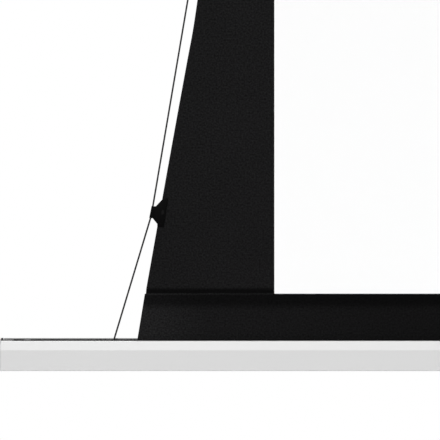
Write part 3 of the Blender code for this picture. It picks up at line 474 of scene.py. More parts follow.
# The hem: the foot of the black fabric goes down into the bar's channel, round a
# glass-fibre rod and back up, where it is welded to itself. It keeps the fabric in the bar.
HEM_THICKNESS = 0.00055
HEM_WRAP = math.radians(346)
HEM_STEPS = 32


def picked(items, kind):
    """The vertices, edges or faces among what an operator made."""
    return [item for item in items if isinstance(item, kind)]


def make_hem():
    """A sheet down to the rod and most of the way round it, in the channel of the bar."""
    rod_low, rod_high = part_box("hem_rod")
    hem_low, hem_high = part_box("fabric_hem")
    centre_z = (rod_low.z + rod_high.z) / 2
    radius = (hem_high.y - hem_low.y) / 2 - HEM_THICKNESS / 2
    shape = bmesh.new()
    ends = [shape.verts.new((x, fabric_y, hem_high.z)) for x in (hem_low.x, hem_high.x)]
    edge = shape.edges.new(ends)
    foot = picked(bmesh.ops.extrude_edge_only(shape, edges=[edge])["geom"], bmesh.types.BMEdge)
    for vertex in foot[0].verts:
        vertex.co.z = centre_z + radius
    bmesh.ops.spin(
        shape, geom=foot + list(foot[0].verts), cent=(0, fabric_y, centre_z), axis=(1, 0, 0),
        angle=HEM_WRAP, steps=HEM_STEPS, use_merge=False,
    )
    bmesh.ops.recalc_face_normals(shape, faces=shape.faces)
    piece = add_piece("hem_loop", thicken(shape, HEM_THICKNESS), black_screen)
    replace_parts(piece, "fabric_hem")
    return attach(piece, "bar")


hem = make_hem()


# The bottom strip: a separate black sheet, welded over the foot of the screen fabric. It
# stands in front of the fabric along the weld and comes back to its plane below.
STRIP_LAP = 0.0006
STRIP_RETURN = 0.016
STRIP_THICKNESS = 0.00048
STRIP_CELLS = (60, 24)


def hang_strip():
    """The strip in its solid's place, a little in front of the fabric along the weld."""
    edge = outer_edge("bottom_border")
    low, high = strip_low.z, strip_high.z

    def flat(share, up):
        height = low + (high - low) * up
        return (2 * share - 1) * along_edge(edge, height), height

    def place(share, up):
        across, height = flat(share, up)
        back = min(max((high - WELD_LAP - height) / (STRIP_RETURN - WELD_LAP), 0), 1)
        return Vector((across, fabric_y - STRIP_LAP * (1 - back * back * (3 - 2 * back)), height))

    shape = thicken(lay_grid(*STRIP_CELLS, place, flat), STRIP_THICKNESS)
    strip = add_piece("bottom_strip", shape, black_screen)
    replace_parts(strip, "bottom_border")
    2 * edge[0][1]
    2 * mean_half_width(edge, low, high, STRIP_CELLS[1]) * (high - low)
    roll_up(strip)


hang_strip()


# The turns of fabric that never leave the roller: the black drop goes on round the tube,
# and the keeper rod holds its end in the keyway.
TURNS = 1.7
TURN_STEPS = 48
TURN_COLUMNS = 4
TURN_GAP = 0.0003
TURN_THICKNESS_SHARE = 0.8


def wind_turns():
    """A spiral from the outer turn, at the top drop's plane, down to the tube."""
    low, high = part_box("fabric_turns")
    outer = (high.z - low.z) / 2 - FABRIC_THICKNESS / 2
    inner = roller_high.z - roller_z + TURN_GAP + FABRIC_THICKNESS / 2
    length = math.pi * (inner + outer) * TURNS

    def place(share, up):
        angle = 2 * math.pi * TURNS * up
        radius = outer + (inner - outer) * up
        return Vector((low.x + (high.x - low.x) * share,
                       roller_y + radius * math.cos(angle), roller_z + radius * math.sin(angle)))

    def flat(share, up):
        return low.x + (high.x - low.x) * share, length * up

    shape = lay_grid(TURN_COLUMNS, round(TURN_STEPS * TURNS), place, flat)
    shape = thicken(shape, FABRIC_THICKNESS * TURN_THICKNESS_SHARE)
    roll = add_piece("fabric_roll", shape, black_screen)
    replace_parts(roll, "fabric_turns")
    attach(roll, "roller")


wind_turns()


# The tension cables: a thin dark steel rope down each side. It bends a little at every
# tab. Its foot, in the bar's slot, is held in the tension block.
CABLE_RADIUS = 0.00105
CABLE_SIDES = 10
CABLE_HEAD_Y = 0.0282
CABLE_FOOT = (1.3021, -1.7318)
CABLE_HEAD = (1.3021, -0.0580)
TAB_SPOTS = (
    (1.2560, -1.5785), (1.1980, -1.2361), (1.1782, -0.8938), (1.1980, -0.5514), (1.2560, -0.2090),
)
LOWER_TABS = 3
BEND_NEAR = 0.0032
BEND_FAR = 0.0102
BEND_EASE = 0.0025
BELOW_ROLLER = 0.016
ROPE_PITCH = 0.0045
ROPE_STRANDS = 6
FOOT_STEPS = 12


def cable_route(side):
    """The cable's foot, a pair of points where it enters and leaves each tab, and its head."""
    spots = [Vector((side * x, fabric_y, z)) for x, z in (CABLE_FOOT, *TAB_SPOTS, CABLE_HEAD)]
    pairs = []
    for index, (before, spot, after) in enumerate(zip(spots, spots[1:], spots[2:])):
        below, above = (BEND_NEAR, BEND_FAR) if index < LOWER_TABS else (BEND_FAR, BEND_NEAR)
        enters = spot + (before - spot).normalized() * below
        leaves = spot + (after - spot).normalized() * above
        pairs.append((enters, leaves))
    spots[-1].y = CABLE_HEAD_Y
    return spots[0], pairs, spots[-1]


def eased(points, radius, steps=4):
    """A line of points with each corner rounded off over a length of that radius."""
    line = [points[0]]
    for before, corner, after in zip(points, points[1:], points[2:]):
        start = corner + (before - corner).normalized() * radius
        end = corner + (after - corner).normalized() * radius
        for step in range(steps + 1):
            share = step / steps
            line.append(start.lerp(corner, share).lerp(corner.lerp(end, share), share))
    return [*line, points[-1]]


def tube_along(line, radius, sides, start=0.0):
    """A closed tube round a line in the screen's plane, mapped by its length from start."""
    lengths = [start]
    for before, after in zip(line, line[1:]):
        lengths.append(lengths[-1] + (after - before).length)

    def place(share, up):
        index = round(up * (len(line) - 1))
        ahead = (line[min(index + 1, len(line) - 1)] - line[max(index - 1, 0)]).normalized()
        across = ahead.cross(Vector((0, 1, 0))).normalized()
        turn = 2 * math.pi * share
        return line[index] + radius * (math.cos(turn) * across + math.sin(turn) * across.cross(ahead))

    def flat(share, up):
        return share, lengths[round(up * (len(line) - 1))]

    shape = lay_grid(sides, len(line) - 1, place, flat, closed=True)
    bmesh.ops.holes_fill(shape, edges=[edge for edge in shape.edges if edge.is_boundary], sides=0)
    bmesh.ops.recalc_face_normals(shape, faces=shape.faces)
    return shape


def make_cable_finish():
    """Dark twisted strands, from the cable's flat map."""
    rope = Finish("dark steel rope", Roughness=0.5, Specular_IOR_Level=0.1)
    share, length, _ = rope.axes(rope.spot(source="UV"))
    twist = (share * ROPE_STRANDS + length / ROPE_PITCH * ROPE_STRANDS) * (2 * math.pi)
    strands = 0.5 + 0.5 * twist.maths("SINE")
    rope.vary(Base_Color=rope.mixed(strands, (0.012, 0.012, 0.013, 1), (0.035, 0.035, 0.036, 1)))
    rope.relief(strands, 0.0002)
    return rope


rope_finish = make_cable_finish()
for side, word in SIDES:
    foot, pairs, head = cable_route(side)
    line = eased([foot, *[spot for pair in pairs for spot in pair], head], BEND_EASE)
    slot_top = foot.lerp(line[1], (bar_high.z - foot.z) / (line[1].z - foot.z))
    shape = tube_along([slot_top, *line[1:]], CABLE_RADIUS, CABLE_SIDES, (slot_top - foot).length)
    cable = add_piece(f"steel_cable_{word}", shape, rope_finish)
    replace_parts(cable, f"tension_cable_{word}")
    roll_up(cable, BELOW_ROLLER)
    in_slot = [foot.lerp(slot_top, step / FOOT_STEPS) for step in range(FOOT_STEPS + 1)]
    shape = tube_along(in_slot, CABLE_RADIUS, CABLE_SIDES)
    cable_foot = add_piece(f"cable_foot_{word}", shape, rope_finish)
    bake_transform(cable_foot)


# The cable tabs: moulded black clips, five on each side. A tab's broad base grips the edge
# of the border and is riveted through it; the cable runs in its nose.
TAB_OUTLINE = (
    (0.0079, -0.0001), (0.0088, 0.0036), (0.0175, 0.0090), (0.0212, 0.0160),
    (-0.0140, 0.0178), (-0.0145, 0.0099), (-0.0119, 0.0094), (-0.0063, 0.0026), (-0.0066, -0.0001),
)
TAB_HALF_THICKNESS = 0.0015
TAB_BEVEL = 0.0004
NOSE_RADIUS = 0.00165
NOSE_ENDS = (-0.0066, 0.0079)
NOSE_SIDES = 20
MOUTH_RIM = 0.0005
MOUTH_DEPTH = 0.0018
RIVET_SPOT = (0.0029, 0.0132)
RIVET_FOOT_RADIUS = 0.0019
RIVET_TOP_RADIUS = 0.0015
RIVET_HEIGHT = 0.0005
RIVET_LIFT = 0.0002
RIVET_SIDES = 16
RIVET_OVAL = 1.6
ACROSS = Matrix.Rotation(math.radians(90), 4, "Y")


def speckled(name, size, dark, pale, depth, **even):
    """A finish that one fine grain speckles from dark to pale and dimples."""
    finish = Finish(name, **even)
    grain = finish.grain(size, detail=3.0)
    finish.vary(Base_Color=finish.mixed(grain, dark, pale))
    finish.relief(grain, depth)
    return finish


def pulled(shape, faces, move):
    """Pulls faces out by a vector, into a solid; returns the faces at its end."""
    made = bmesh.ops.extrude_face_region(shape, geom=faces)["geom"]
    bmesh.ops.translate(shape, verts=picked(made, bmesh.types.BMVert), vec=move)
    return picked(made, bmesh.types.BMFace)


def round_off(shape, geom, radius, segments=2, affect="EDGES"):
    """Rounds edges, or the corners of a flat face."""
    bmesh.ops.bevel(
        shape, geom=geom, offset=radius, segments=segments, profile=0.5, affect=affect, material=-1)


def tab_shape():
    """A tab about its cable: X along the cable, Y inwards from it, Z towards the viewer."""
    shape = bmesh.new()
    corners = [shape.verts.new((along, inward, -TAB_HALF_THICKNESS)) for along, inward in TAB_OUTLINE]
    pulled(shape, [shape.faces.new(corners)], (0, 0, 2 * TAB_HALF_THICKNESS))
    bmesh.ops.recalc_face_normals(shape, faces=shape.faces)
    round_off(shape, list(shape.edges), TAB_BEVEL)
    return shape


def nose_shape():
    """The round sleeve that the cable runs in, with a mouth at each end."""
    length = NOSE_ENDS[1] - NOSE_ENDS[0]
    middle = (NOSE_ENDS[0] + NOSE_ENDS[1]) / 2
    shape = bmesh.new()
    bmesh.ops.create_cone(
        shape, cap_ends=True, segments=NOSE_SIDES, radius1=NOSE_RADIUS, radius2=NOSE_RADIUS,
        depth=length, matrix=Matrix.Translation((middle, 0, 0)) @ ACROSS,
    )
    caps = [face for face in shape.faces if len(face.verts) > 4]
    bmesh.ops.inset_individual(shape, faces=caps, thickness=MOUTH_RIM)
    for cap in caps:
        inwards = math.copysign(MOUTH_DEPTH, middle - cap.calc_center_median().x)
        bmesh.ops.translate(shape, verts=cap.verts, vec=(inwards, 0, 0))
    return shape


def rivet_shape():
    """A flat oval rivet head on each face of the tab's base."""
    shape = bmesh.new()
    for side, turn in ((-1, math.pi), (1, 0)):
        place = Matrix.Translation((*RIVET_SPOT, side * (TAB_HALF_THICKNESS + RIVET_LIFT)))
        bmesh.ops.create_cone(
            shape, cap_ends=True, segments=RIVET_SIDES, radius1=RIVET_FOOT_RADIUS,
            radius2=RIVET_TOP_RADIUS, depth=RIVET_HEIGHT,
            matrix=place @ Matrix.Rotation(turn, 4, "X") @ Matrix.Diagonal((RIVET_OVAL, 1, 1, 1)),
        )
    return shape


tab_finish = speckled(
    "black moulded tab", size=0.0008, dark=grey(0.0014), pale=(0.0032, 0.0032, 0.0033, 1),
    depth=0.00004, Roughness=0.55, Specular_IOR_Level=0.02,
)
rivet_finish = Finish("dark rivet", Roughness=0.4, Specular_IOR_Level=0.04)
rivet_finish.vary(Base_Color=rivet_finish.mixed(rivet_finish.grain(0.0006), grey(0.004), grey(0.008)))
for side, word in SIDES:
    _, pairs, _ = cable_route(side)
    for index, (low, high) in enumerate(pairs):
        turned_over = index >= LOWER_TABS
        middle = (low + high) / 2
        along = (low - high if turned_over else high - low).normalized()
        inward = Vector((0, 1, 0)).cross(along)
        if inward.x * side > 0:
            inward = -inward
        facing = Vector((0, -1, 0))
        frame_of_tab = Matrix((along, inward, facing)).transposed().to_4x4()
        frame_of_tab.translation = middle
        pieces = (
            ("tab", tab_shape(), tab_finish),
            ("tab_nose", nose_shape(), tab_finish),
            ("tab_rivet", rivet_shape(), rivet_finish),
        )
        for kind, shape, finish in pieces:
            bmesh.ops.transform(shape, matrix=frame_of_tab, verts=shape.verts)
            bmesh.ops.recalc_face_normals(shape, faces=shape.faces)
            made = add_piece(f"{kind}_{word}_{index + 1}", shape, finish)
            if kind == "tab":
                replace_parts(made, f"cable_tab_{word}_{index + 1}")
            roll_up(made, BELOW_ROLLER)


# The lower bar: an aluminium extrusion with a slot along its top and two facets in front,
# painted satin white as the case is, and closed by a moulded plastic cap at each end.
PAINT_LINES = 0.0015
PAINT_CLOUD = 0.12
PAINT_PEEL = 0.0011
PAINT_TONES = (0.975, 1.02)
PAINT_ROUGHNESS = (0.36, 0.5)
WHITE_PAINT_LIGHT = 0.670


def dress(finish, *names):
    """Gives solids that stay their finish."""
    for name in names:
        for slot in frame["nodes"][name].material_slots:
            slot.material = finish.material


def make_paint(name, light):
    """Satin powder paint: a fine orange-peel relief over faint lines along the extrusion."""
    paint = Finish(name, Roughness=0.42, Coat_Weight=0.15, Coat_Roughness=0.3)
    lines = paint.grain(PAINT_LINES, paint.spot(stretch=(0.01, 1, 1)), 1.0)
    cloud = paint.grain(PAINT_CLOUD)
    level = 0.5 + 0.35 * (lines - 0.5) + 0.35 * (cloud - 0.5)
    dark, pale = (light * tone for tone in PAINT_TONES)
    paint.vary(Base_Color=paint.mixed(level, grey(dark), (pale, pale, pale * 0.998, 1)))
    peel = paint.grain(PAINT_PEEL, detail=1.0)
    paint.relief(peel, 0.00002)
    paint.vary(Roughness=paint.rise(peel + 0.3 * cloud, 0.3, 1.0, *PAINT_ROUGHNESS))
    return paint


white_paint = make_paint("satin white paint", WHITE_PAINT_LIGHT)
dress(white_paint, "bar_profile", "case_back", "case_front")

white_plastic = speckled(
    "white moulded plastic", size=0.0007, dark=(0.62, 0.62, 0.615, 1), pale=(0.66, 0.66, 0.655, 1),
    depth=0.00004, Roughness=0.5,
)
dress(white_plastic, "bar_end_cap_left", "bar_end_cap_right")


# The slot's shade linings: thin angles of black with a felted skin. They clip over both lips
# of the bar's slot; their black is painted shade, put where the deep slot is only in shadow.
SLOT_HALF = 0.0042
SHADE_LINING_WALL = 0.0003
SHADE_LINING_FIT = 0.00002
SHADE_LINING_REACH = 0.0012
SHADE_LINING_LEG = 0.0019
SHADE_LINING_END = 1.4236

# This black is painted shade: the bar's slot is only in shadow there.
slot_shade_black = speckled(
    "black slot shade", size=0.0005, dark=grey(0.006), pale=grey(0.02), depth=0.0002,
    Roughness=0.95, Specular_IOR_Level=0.02,
)
for side, word in ((-1, "front"), (1, "rear")):
    shape = bmesh.new()
    section = (
        (SLOT_HALF + SHADE_LINING_REACH, SHADE_LINING_FIT), (SLOT_HALF + SHADE_LINING_REACH, SHADE_LINING_WALL),
        (SLOT_HALF - SHADE_LINING_WALL, SHADE_LINING_WALL), (SLOT_HALF - SHADE_LINING_WALL, -SHADE_LINING_LEG),
        (SLOT_HALF - SHADE_LINING_FIT, -SHADE_LINING_LEG), (SLOT_HALF - SHADE_LINING_FIT, SHADE_LINING_FIT),
    )
    places = [(-SHADE_LINING_END, fabric_y + side * across, bar_high.z + up) for across, up in section]
    face = shape.faces.new([shape.verts.new(place) for place in places])
    pulled(shape, [face], (2 * SHADE_LINING_END, 0, 0))
    bmesh.ops.recalc_face_normals(shape, faces=shape.faces)
    shade_lining = add_piece(f"slot_shade_lining_{word}", shape, slot_shade_black)
    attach(shade_lining, "bar")


# The pile strip and the dark blocks: grey pile is glued along the rear lip, behind the fabric,
# and dark grey blocks close the slot towards each end of the bar. On the slot guides and the
# slot pads that dark grey is painted shade, where the slot is only in shadow.
PILE_LOW = (-1.4360, SLOT_HALF + 0.0001, SHADE_LINING_WALL + SHADE_LINING_FIT)
PILE_HIGH = (1.4360, 0.0088, 0.0015)
PILE_EASE = 0.0004
BLOCK_EASE = 0.0002


def bar_block(name, low, high, ease, finish):
    """A block with eased edges on the bar, from corners given from the middle of its slot."""
    slot_middle = Vector((0, fabric_y, bar_high.z))
    low, high = slot_middle + Vector(low), slot_middle + Vector(high)
    size = high - low
    shape = bmesh.new()
    bmesh.ops.create_cube(
        shape, size=1, matrix=Matrix.Translation(low + size / 2) @ Matrix.Diagonal((*size, 1)))
    round_off(shape, list(shape.edges), ease)
    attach(add_piece(name, shape, finish), "bar")


grey_pile = speckled(
    "grey pile", size=0.0006, dark=grey(0.20), pale=grey(0.34), depth=0.0003,
    Roughness=0.95, Specular_IOR_Level=0.05,
)
# On the slot guides and slot pads this dark grey is painted shade; elsewhere it is the rubber's own
# colour.
rubber_and_slot_shade = speckled(
    "dark grey rubber and slot shade", size=0.0008, dark=grey(0.07), pale=grey(0.13), depth=0.00005,
    Roughness=0.8, Specular_IOR_Level=0.1,
)
bar_block("rear_pile_strip", PILE_LOW, PILE_HIGH, PILE_EASE, grey_pile)

# Name, where it starts and ends from the middle of the bar, its front and rear from the
# fabric, and its foot and top from the top of the bar.
BLOCKS = (
    ("slot_guide", 1.4015, 1.4100, -0.0056, 0.0041, 0.00032, 0.0007),
    ("slot_pad", 1.4240, 1.4355, -0.0040, 0.0040, -0.00055, -0.0001),
    ("end_buffer", 1.4361, 1.4382, -0.0030, 0.0040, 0.00002, 0.0024),
)
for side, word in SIDES:
    for kind, start, end, front, rear, foot, top in BLOCKS:
        near, far = sorted((side * start, side * end))
        low, high = (near, front, foot), (far, rear, top)
        bar_block(f"{kind}_{word}", low, high, BLOCK_EASE, rubber_and_slot_shade)


# Steel parts: zinc-plated brackets, plates, screws and blocks with a cloudy bright skin,
# rolled threads on the bolts and the tension screws, and dark oiled steel inside.
RAIL_BOLT_PITCH = 0.00125
TENSION_SCREW_PITCH = 0.0008
STEEL_CLOUD = 0.006
STEEL_LINES = 0.0004


def make_steel(name, light, rough, thread_axis=None, pitch=None):
    """Cloudy bright steel, with a thread's relief along one axis where it has a pitch."""
    steel = Finish(name, Metallic=1.0)
    cloud = steel.grain(STEEL_CLOUD, detail=4.0)
    fine = steel.grain(STEEL_LINES, steel.spot(stretch=(0.2, 1, 1)), 1.0)
    dull = light * 0.93
    steel.vary(
        Base_Color=steel.mixed(cloud, (dull, dull, dull * 1.01, 1), (light, light, light * 1.02, 1)),
        Roughness=steel.rise(cloud + 0.4 * fine, 0.4, 1.0, rough * 0.9, rough * 1.12),
    )
    if pitch is None:
        steel.relief(fine, 0.00001)
    else:
        along = steel.axes(steel.spot())[thread_axis] * (2 * math.pi / pitch)
        steel.relief(0.5 + 0.5 * along.maths("SINE"), pitch / 3)
    return steel


zinc = make_steel("zinc-plated steel", light=0.60, rough=0.36)
dress(
    zinc, "clamp_nut_left", "clamp_nut_right", "end_plate_left", "end_plate_right",
    "motor_bracket", "motor_tube", "output_shaft", "limit_screw_up", "limit_screw_down",
    "idler_bracket", "idler_pin", "idler_bearing", "tension_block_left", "tension_block_right",
)
rail_bolt_steel = make_steel(
    "rail bolt thread", light=0.60, rough=0.36, thread_axis=2, pitch=RAIL_BOLT_PITCH)
dress(rail_bolt_steel, "rail_bolt_left", "rail_bolt_right")
tension_screw_steel = make_steel(
    "tension screw thread", light=0.60, rough=0.36, thread_axis=0, pitch=TENSION_SCREW_PITCH)
dress(tension_screw_steel, "tension_screw_left", "tension_screw_right")
dark_steel = make_steel("oiled dark steel", light=0.22, rough=0.5)
dress(dark_steel, "weight_rod", "motor_core", "motor_gearbox")


# The roller: a bare aluminium tube, drawn with a keyway along it that takes the fabric's end.
# It shows the fine lines of the die.
aluminium = Finish("bare drawn aluminium", Metallic=1.0)
drawn = aluminium.grain(0.0009, aluminium.spot(stretch=(0.004, 1, 1)), 2.0)
aluminium.vary(
    Base_Color=aluminium.mixed(drawn, (0.62, 0.63, 0.64, 1), (0.76, 0.77, 0.78, 1)),
    Roughness=aluminium.rise(drawn, 0.2, 0.8, 0.28, 0.42),
)
aluminium.relief(drawn, 0.00002)
dress(aluminium, "roller_tube")


# The keeper rod and the hem rod: straight rods of glass fibre, pushed in along the keyway
# and the hem. They hold the fabric at the roller and in the bar.
fibre = Finish("glass-fibre rod", Specular_IOR_Level=0.5)
strands = fibre.grain(0.0004, fibre.spot(stretch=(0.01, 1, 1)), 2.0)
fibre.vary(
    Base_Color=fibre.mixed(strands, (0.62, 0.60, 0.48, 1), (0.80, 0.78, 0.66, 1)),
    Roughness=fibre.rise(strands, 0.2, 0.8, 0.4, 0.6),
)
dress(fibre, "keeper_rod", "hem_rod")


# The motor's crown and drive wheel and the idler's plug: grey nylon mouldings that fit the
# inside of the roller tube.
nylon = speckled(
    "grey nylon", size=0.003, dark=(0.30, 0.30, 0.31, 1), pale=(0.38, 0.38, 0.39, 1),
    depth=0.00003, Roughness=0.55,
)
dress(nylon, "motor_crown", "drive_wheel", "idler_plug")


# The motor's head, the control box and the lead between them: black mouldings and a black
# sheath, in the case's left end.
black_plastic = speckled(
    "black moulded plastic", size=0.0006, dark=grey(0.010), pale=grey(0.018), depth=0.00005,
    Roughness=0.5, Specular_IOR_Level=0.35,
)
dress(black_plastic, "motor_head", "control_box", "motor_lead")


# The case's end caps: moulded plates with a tongue that plugs into the case, held by four
# cross-head screws each. The left one has a hole for the power gland.
CAP_CORNER = 0.005
CAP_RIM = 0.0008
CAP_GAP = 0.0003
CAP_FOOT = -0.1420
CAP_SMOOTH_ANGLE = math.radians(20)
SCREW_POCKET = 0.0040
SCREW_SPOTS = ((-0.0445, -0.0120), (0.0525, -0.0115), (-0.0530, -0.1300), (0.0530, -0.1300))
SCREW_SUNK = 0.0015
SCREW_FOOT_RADIUS = 0.0022
SCREW_HEAD_RADIUS = 0.0037
SCREW_HEAD_DEPTH = 0.0022
HOLE_SIDES = 24
GLAND_SPOT = (0.0470, -0.0340)
GLAND_HOLE = 0.0073
CAP_OUTLINE = (
    (-0.0575, 0.0), (0.0640, 0.0), (0.0640, CAP_FOOT), (-0.0640, CAP_FOOT), (-0.0640, -0.0400),
)
TONGUE_OUTLINE = (
    (-0.0552, -0.0046), (0.0617, -0.0046), (0.0617, -0.1337), (-0.0617, -0.1337), (-0.0617, -0.0400),
)
TONGUE_WALL = 0.0025
CROSS = ((1, 4), (1, 1), (4, 1))
CROSS_UNIT = 0.00045
CROSS_TURN = 20
CROSS_DEPTH = 0.0014


def flat_face(shape, level):
    """The largest face that lies square to X at that place along it."""
    def lies_there(face):
        return all(abs(vertex.co.x - level) < MERGE_DISTANCE for vertex in face.verts)

    return max(filter(lies_there, shape.faces), key=lambda face: face.calc_area())


def open_face(shape, face, loops):
    """Cuts loops of edges out of a flat face, by filling the rest of it again."""
    edges = [*face.edges, *[edge for loop in loops for edge in loop]]
    bmesh.ops.delete(shape, geom=[face], context="FACES_ONLY")
    bmesh.ops.triangle_fill(shape, use_beauty=True, use_dissolve=False, edges=edges)


def round_loop(shape, place, radius, reach=0.0):
    """A circle of edges about Z of its place, drawn out to both sides into a slot if it reaches."""
    ring = bmesh.ops.create_circle(shape, segments=HOLE_SIDES, radius=radius)["verts"]
    half_side = Matrix.Rotation(math.radians(180 / HOLE_SIDES), 3, "Z")
    for vertex in ring:
        vertex.co = half_side @ vertex.co
        vertex.co.x += math.copysign(reach, vertex.co.x)
    bmesh.ops.transform(shape, matrix=place, verts=ring)
    return list({edge for vertex in ring for edge in vertex.link_edges})


def end_cap_shape(inner, outer, tongue_end, holes):
    """A plate with rounded corners and holes through it, and a hollow tongue behind it."""
    shape = bmesh.new()
    shape.faces.new([shape.verts.new((inner, *corner)) for corner in CAP_OUTLINE])
    rounded = [vertex for vertex in shape.verts if round(vertex.co.z, 4) in (0, CAP_FOOT)]
    round_off(shape, rounded, CAP_CORNER, 6, "VERTICES")
    plate, = shape.faces
    face = pulled(shape, [plate], (outer - inner, 0, 0))[0]
    round_off(shape, list(face.edges), CAP_RIM, 3)
    rims = []
    for level in (outer, inner):
        flat = flat_face(shape, level)
        places = [(Matrix.Translation((level, *spot)) @ ACROSS, radius) for spot, radius in holes]
        rims.append([round_loop(shape, *place) for place in places])
        open_face(shape, flat, rims[-1])
    for front, rear in zip(*rims):
        bmesh.ops.bridge_loops(shape, edges=front + rear)
    tongue = shape.faces.new([shape.verts.new((inner, *corner)) for corner in TONGUE_OUTLINE])
    ring = bmesh.ops.inset_region(
        shape, faces=[tongue], thickness=TONGUE_WALL, use_even_offset=True)["faces"]
    bmesh.ops.delete(shape, geom=[tongue], context="FACES_ONLY")
    pulled(shape, ring, (tongue_end - inner, 0, 0))
    bmesh.ops.recalc_face_normals(shape, faces=shape.faces)
    return shape


def screw_shape(x, spot, side):
    """A countersunk head with a cross recess."""
    shape = bmesh.new()
    bmesh.ops.create_cone(
        shape, cap_ends=True, segments=HOLE_SIDES, radius1=SCREW_FOOT_RADIUS, radius2=SCREW_HEAD_RADIUS,
        depth=SCREW_HEAD_DEPTH,
        matrix=Matrix.Translation((x, *spot)) @ Matrix.Rotation(math.radians(90 * side), 4, "Y"),
    )
    top = max((face for face in shape.faces if len(face.verts) > 4), key=lambda face: face.calc_area())
    level = top.calc_center_median().x
    corners = []
    for quarter in range(4):
        spin = Matrix.Rotation(math.radians(CROSS_TURN - 90 * quarter), 2)
        for along, out in CROSS:
            y, z = spin @ Vector((along * CROSS_UNIT, out * CROSS_UNIT))
            corners.append(shape.verts.new((level, spot[0] + y, spot[1] + z)))
    edges = [shape.edges.new(pair) for pair in zip(corners, corners[1:] + corners[:1])]
    open_face(shape, top, [edges])
    foot = picked(bmesh.ops.extrude_edge_only(shape, edges=edges)["geom"], bmesh.types.BMVert)
    bmesh.ops.translate(shape, verts=foot, vec=(-side * CROSS_DEPTH, 0, 0))
    bmesh.ops.holes_fill(shape, edges=[edge for edge in shape.edges if edge.is_boundary], sides=0)
    bmesh.ops.recalc_face_normals(shape, faces=shape.faces)
    return shape


for side, word in SIDES:
    low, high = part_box(f"end_cap_{word}")
    outer, tongue_end = (low.x, high.x) if side < 0 else (high.x, low.x)
    case_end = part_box("case_front")[0 if side < 0 else 1].x
    inner = case_end + side * CAP_GAP
    holes = [(spot, SCREW_POCKET) for spot in SCREW_SPOTS]
    if side < 0:
        holes.append((GLAND_SPOT, GLAND_HOLE))
    shape = end_cap_shape(inner, outer, tongue_end, holes)
    cap = add_piece(f"case_cap_{word}", shape, white_plastic, CAP_SMOOTH_ANGLE)
    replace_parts(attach(cap, "case"), f"end_cap_{word}")
    for index, spot in enumerate(SCREW_SPOTS):
        shape = screw_shape(outer - side * SCREW_SUNK, spot, side)
        screw = add_piece(f"cap_screw_{word}_{index + 1}", shape, zinc)
        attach(screw, "case")


# The power gland: a hexagonal body through the left cap, a twelve-sided domed nut and a
# rubber seal round the empty way in.
HEXAGON = (
    (-0.0001, 0.0078), (-0.0001, 0.0106), (-0.0003, 0.0109), (-0.0019, 0.0109), (-0.0022, 0.0106),
    (-0.0022, 0.0078),
)
BARREL_BORE, BARREL_RADIUS = 0.0040, 0.0070
BARREL_OUT = -0.0036
DOMED_NUT = (
    (-0.0024, 0.0072), (-0.0024, 0.0094), (-0.0027, 0.0097), (-0.0044, 0.0096), (-0.0053, 0.0088),
    (-0.0060, 0.0072), (-0.0062, 0.0056), (-0.0060, 0.0052), (-0.0038, 0.0052), (-0.0038, 0.0072),
)
SEAL = ((-0.0037, 0.0041), (-0.0037, 0.0051), (-0.0055, 0.0051), (-0.0057, 0.0047), (-0.0055, 0.0043))
ROUND_SIDES = 32


def lathe(place, steps, points):
    """A piece turned round X of its place, from its section's (along, radius) points."""
    shape = bmesh.new()
    corners = [shape.verts.new((along, radius, 0)) for along, radius in points]
    edges = [shape.edges.new(pair) for pair in zip(corners, corners[1:] + corners[:1])]
    bmesh.ops.spin(
        shape, geom=corners + edges, cent=(0, 0, 0), axis=(1, 0, 0), angle=2 * math.pi, steps=steps,
        use_merge=True,
    )
    bmesh.ops.remove_doubles(shape, verts=shape.verts, dist=MERGE_DISTANCE)
    bmesh.ops.recalc_face_normals(shape, faces=shape.faces)
    bmesh.ops.transform(shape, matrix=place, verts=shape.verts)
    return shape


cap_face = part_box("end_cap_left")[0].x
gland_place = Matrix.Translation((cap_face, *GLAND_SPOT))
body = lathe(gland_place, 6, HEXAGON)
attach(add_piece("gland_hexagon", body, black_plastic), "case")
barrel_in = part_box("power_gland")[1].x - cap_face
barrel_section = (
    (barrel_in, BARREL_BORE), (barrel_in, BARREL_RADIUS),
    (BARREL_OUT, BARREL_RADIUS), (BARREL_OUT, BARREL_BORE),
)
barrel = add_piece(
    "gland_barrel", lathe(gland_place, ROUND_SIDES, barrel_section), black_plastic)
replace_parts(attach(barrel, "case"), "power_gland")
nut = lathe(gland_place, 12, DOMED_NUT)
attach(add_piece("gland_nut", nut, black_plastic), "case")
seal = lathe(gland_place, ROUND_SIDES, SEAL)
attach(add_piece("gland_seal", seal, rubber_and_slot_shade), "case")


# The infrared window: a plug of glossy dark red plastic with a flange and a low dome. It is
# pressed into a hole in the front cover.
WINDOW_STEM = 0.0044
WINDOW_FLANGE = 0.0069
WINDOW_DOME = ((0.0009, 0.0069), (0.0005, 0.0064), (0.0002, 0.0050), (0.0, 0.0025), (0.0, 0.0))
WINDOW_FLANGE_DEPTH = 0.0015
WINDOW_STEPS = 40

red_window = Finish("dark red window", Roughness=0.12, Specular_IOR_Level=0.22)
depth_tint = red_window.grain(0.004)
red_window.vary(
    Base_Color=red_window.mixed(depth_tint, (0.030, 0.0010, 0.0015, 1), (0.055, 0.0018, 0.0025, 1)))
window_low, window_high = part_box("infrared_window")
window_middle = (window_low + window_high) / 2
window_rear = Matrix.Translation((window_middle.x, window_high.y, window_middle.z))
window_place = window_rear @ Matrix.Rotation(math.radians(-90), 4, "Z")
window_reach = window_high.y - window_low.y
flange_rear = window_reach - WINDOW_FLANGE_DEPTH
window = lathe(window_place, WINDOW_STEPS, (
    (0, 0), (0, WINDOW_STEM), (flange_rear, WINDOW_STEM), (flange_rear, WINDOW_FLANGE),
    *[(window_reach - behind, radius) for behind, radius in WINDOW_DOME],
))
dome = add_piece("window_dome", window, red_window)
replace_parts(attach(dome, "case"), "infrared_window")


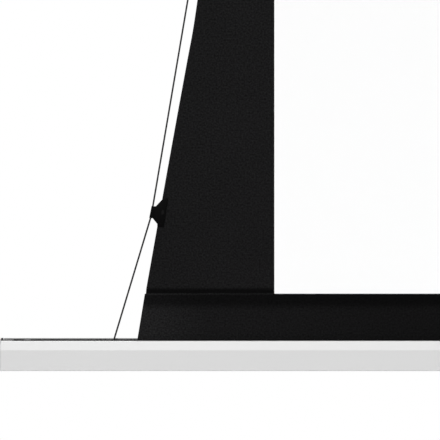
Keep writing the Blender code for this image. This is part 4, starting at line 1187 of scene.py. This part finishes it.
# The wall brackets: steel angles bent from a flat blank, with a hole for the rail bolt and
# a slot for the wall screws.
BRACKET_PLATE = 0.003
BRACKET_BEND = 0.0045
BRACKET_CORNER = 0.006
BEND_CUTS = 8
BEND_MARGIN = 0.0005
BOLT_HOLE_RADIUS = 0.0043
WALL_SLOT_RADIUS = 0.004
WALL_SLOT_REACH = 0.011
WALL_SLOT_HEIGHT = 0.040


def bracket_shape(low, high):
    """A flat blank with its hole and slot, bent up and given its thickness."""
    half, middle = (high.x - low.x) / 2, (high.x + low.x) / 2
    base_z = low.z + BRACKET_PLATE / 2
    foot = high.y - BRACKET_PLATE / 2 - BRACKET_BEND - low.y
    curve = BRACKET_BEND * math.pi / 2
    length = foot + curve + high.z - base_z - BRACKET_BEND
    shape = bmesh.new()
    outline = ((-half, 0), (half, 0), (half, length), (-half, length))
    corners = [shape.verts.new((x, along, 0)) for x, along in outline]
    shape.faces.new(corners)
    round_off(shape, corners, BRACKET_CORNER, 6, "VERTICES")
    blank, = shape.faces
    slot_along = foot + curve + WALL_SLOT_HEIGHT - base_z - BRACKET_BEND
    bolt_hole = round_loop(shape, Matrix.Translation((0, -low.y, 0)), BOLT_HOLE_RADIUS)
    slot_place = Matrix.Translation((0, slot_along, 0))
    wall_slot = round_loop(shape, slot_place, WALL_SLOT_RADIUS, WALL_SLOT_REACH)
    open_face(shape, blank, [bolt_hole, wall_slot])
    cuts = [foot + curve * step / BEND_CUTS for step in range(BEND_CUTS + 1)]
    for along in (foot - BEND_MARGIN, *cuts, foot + curve + BEND_MARGIN):
        everything = [*shape.verts, *shape.edges, *shape.faces]
        bmesh.ops.bisect_plane(shape, geom=everything, plane_co=(0, along, 0), plane_no=(0, 1, 0))
    for vertex in shape.verts:
        x, along, _ = vertex.co
        turn = min(max((along - foot) / BRACKET_BEND, 0), math.pi / 2)
        vertex.co = (
            middle + x,
            low.y + min(along, foot) + BRACKET_BEND * math.sin(turn),
            base_z + BRACKET_BEND * (1 - math.cos(turn)) + max(along - foot - curve, 0),
        )
    bmesh.ops.recalc_face_normals(shape, faces=shape.faces)
    return thicken(shape, BRACKET_PLATE)


for word in ("left", "right"):
    shape = bracket_shape(*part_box(f"wall_bracket_{word}"))
    angle = add_piece(f"steel_angle_{word}", shape, zinc)
    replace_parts(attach(angle, f"bracket_{word}"), f"wall_bracket_{word}")
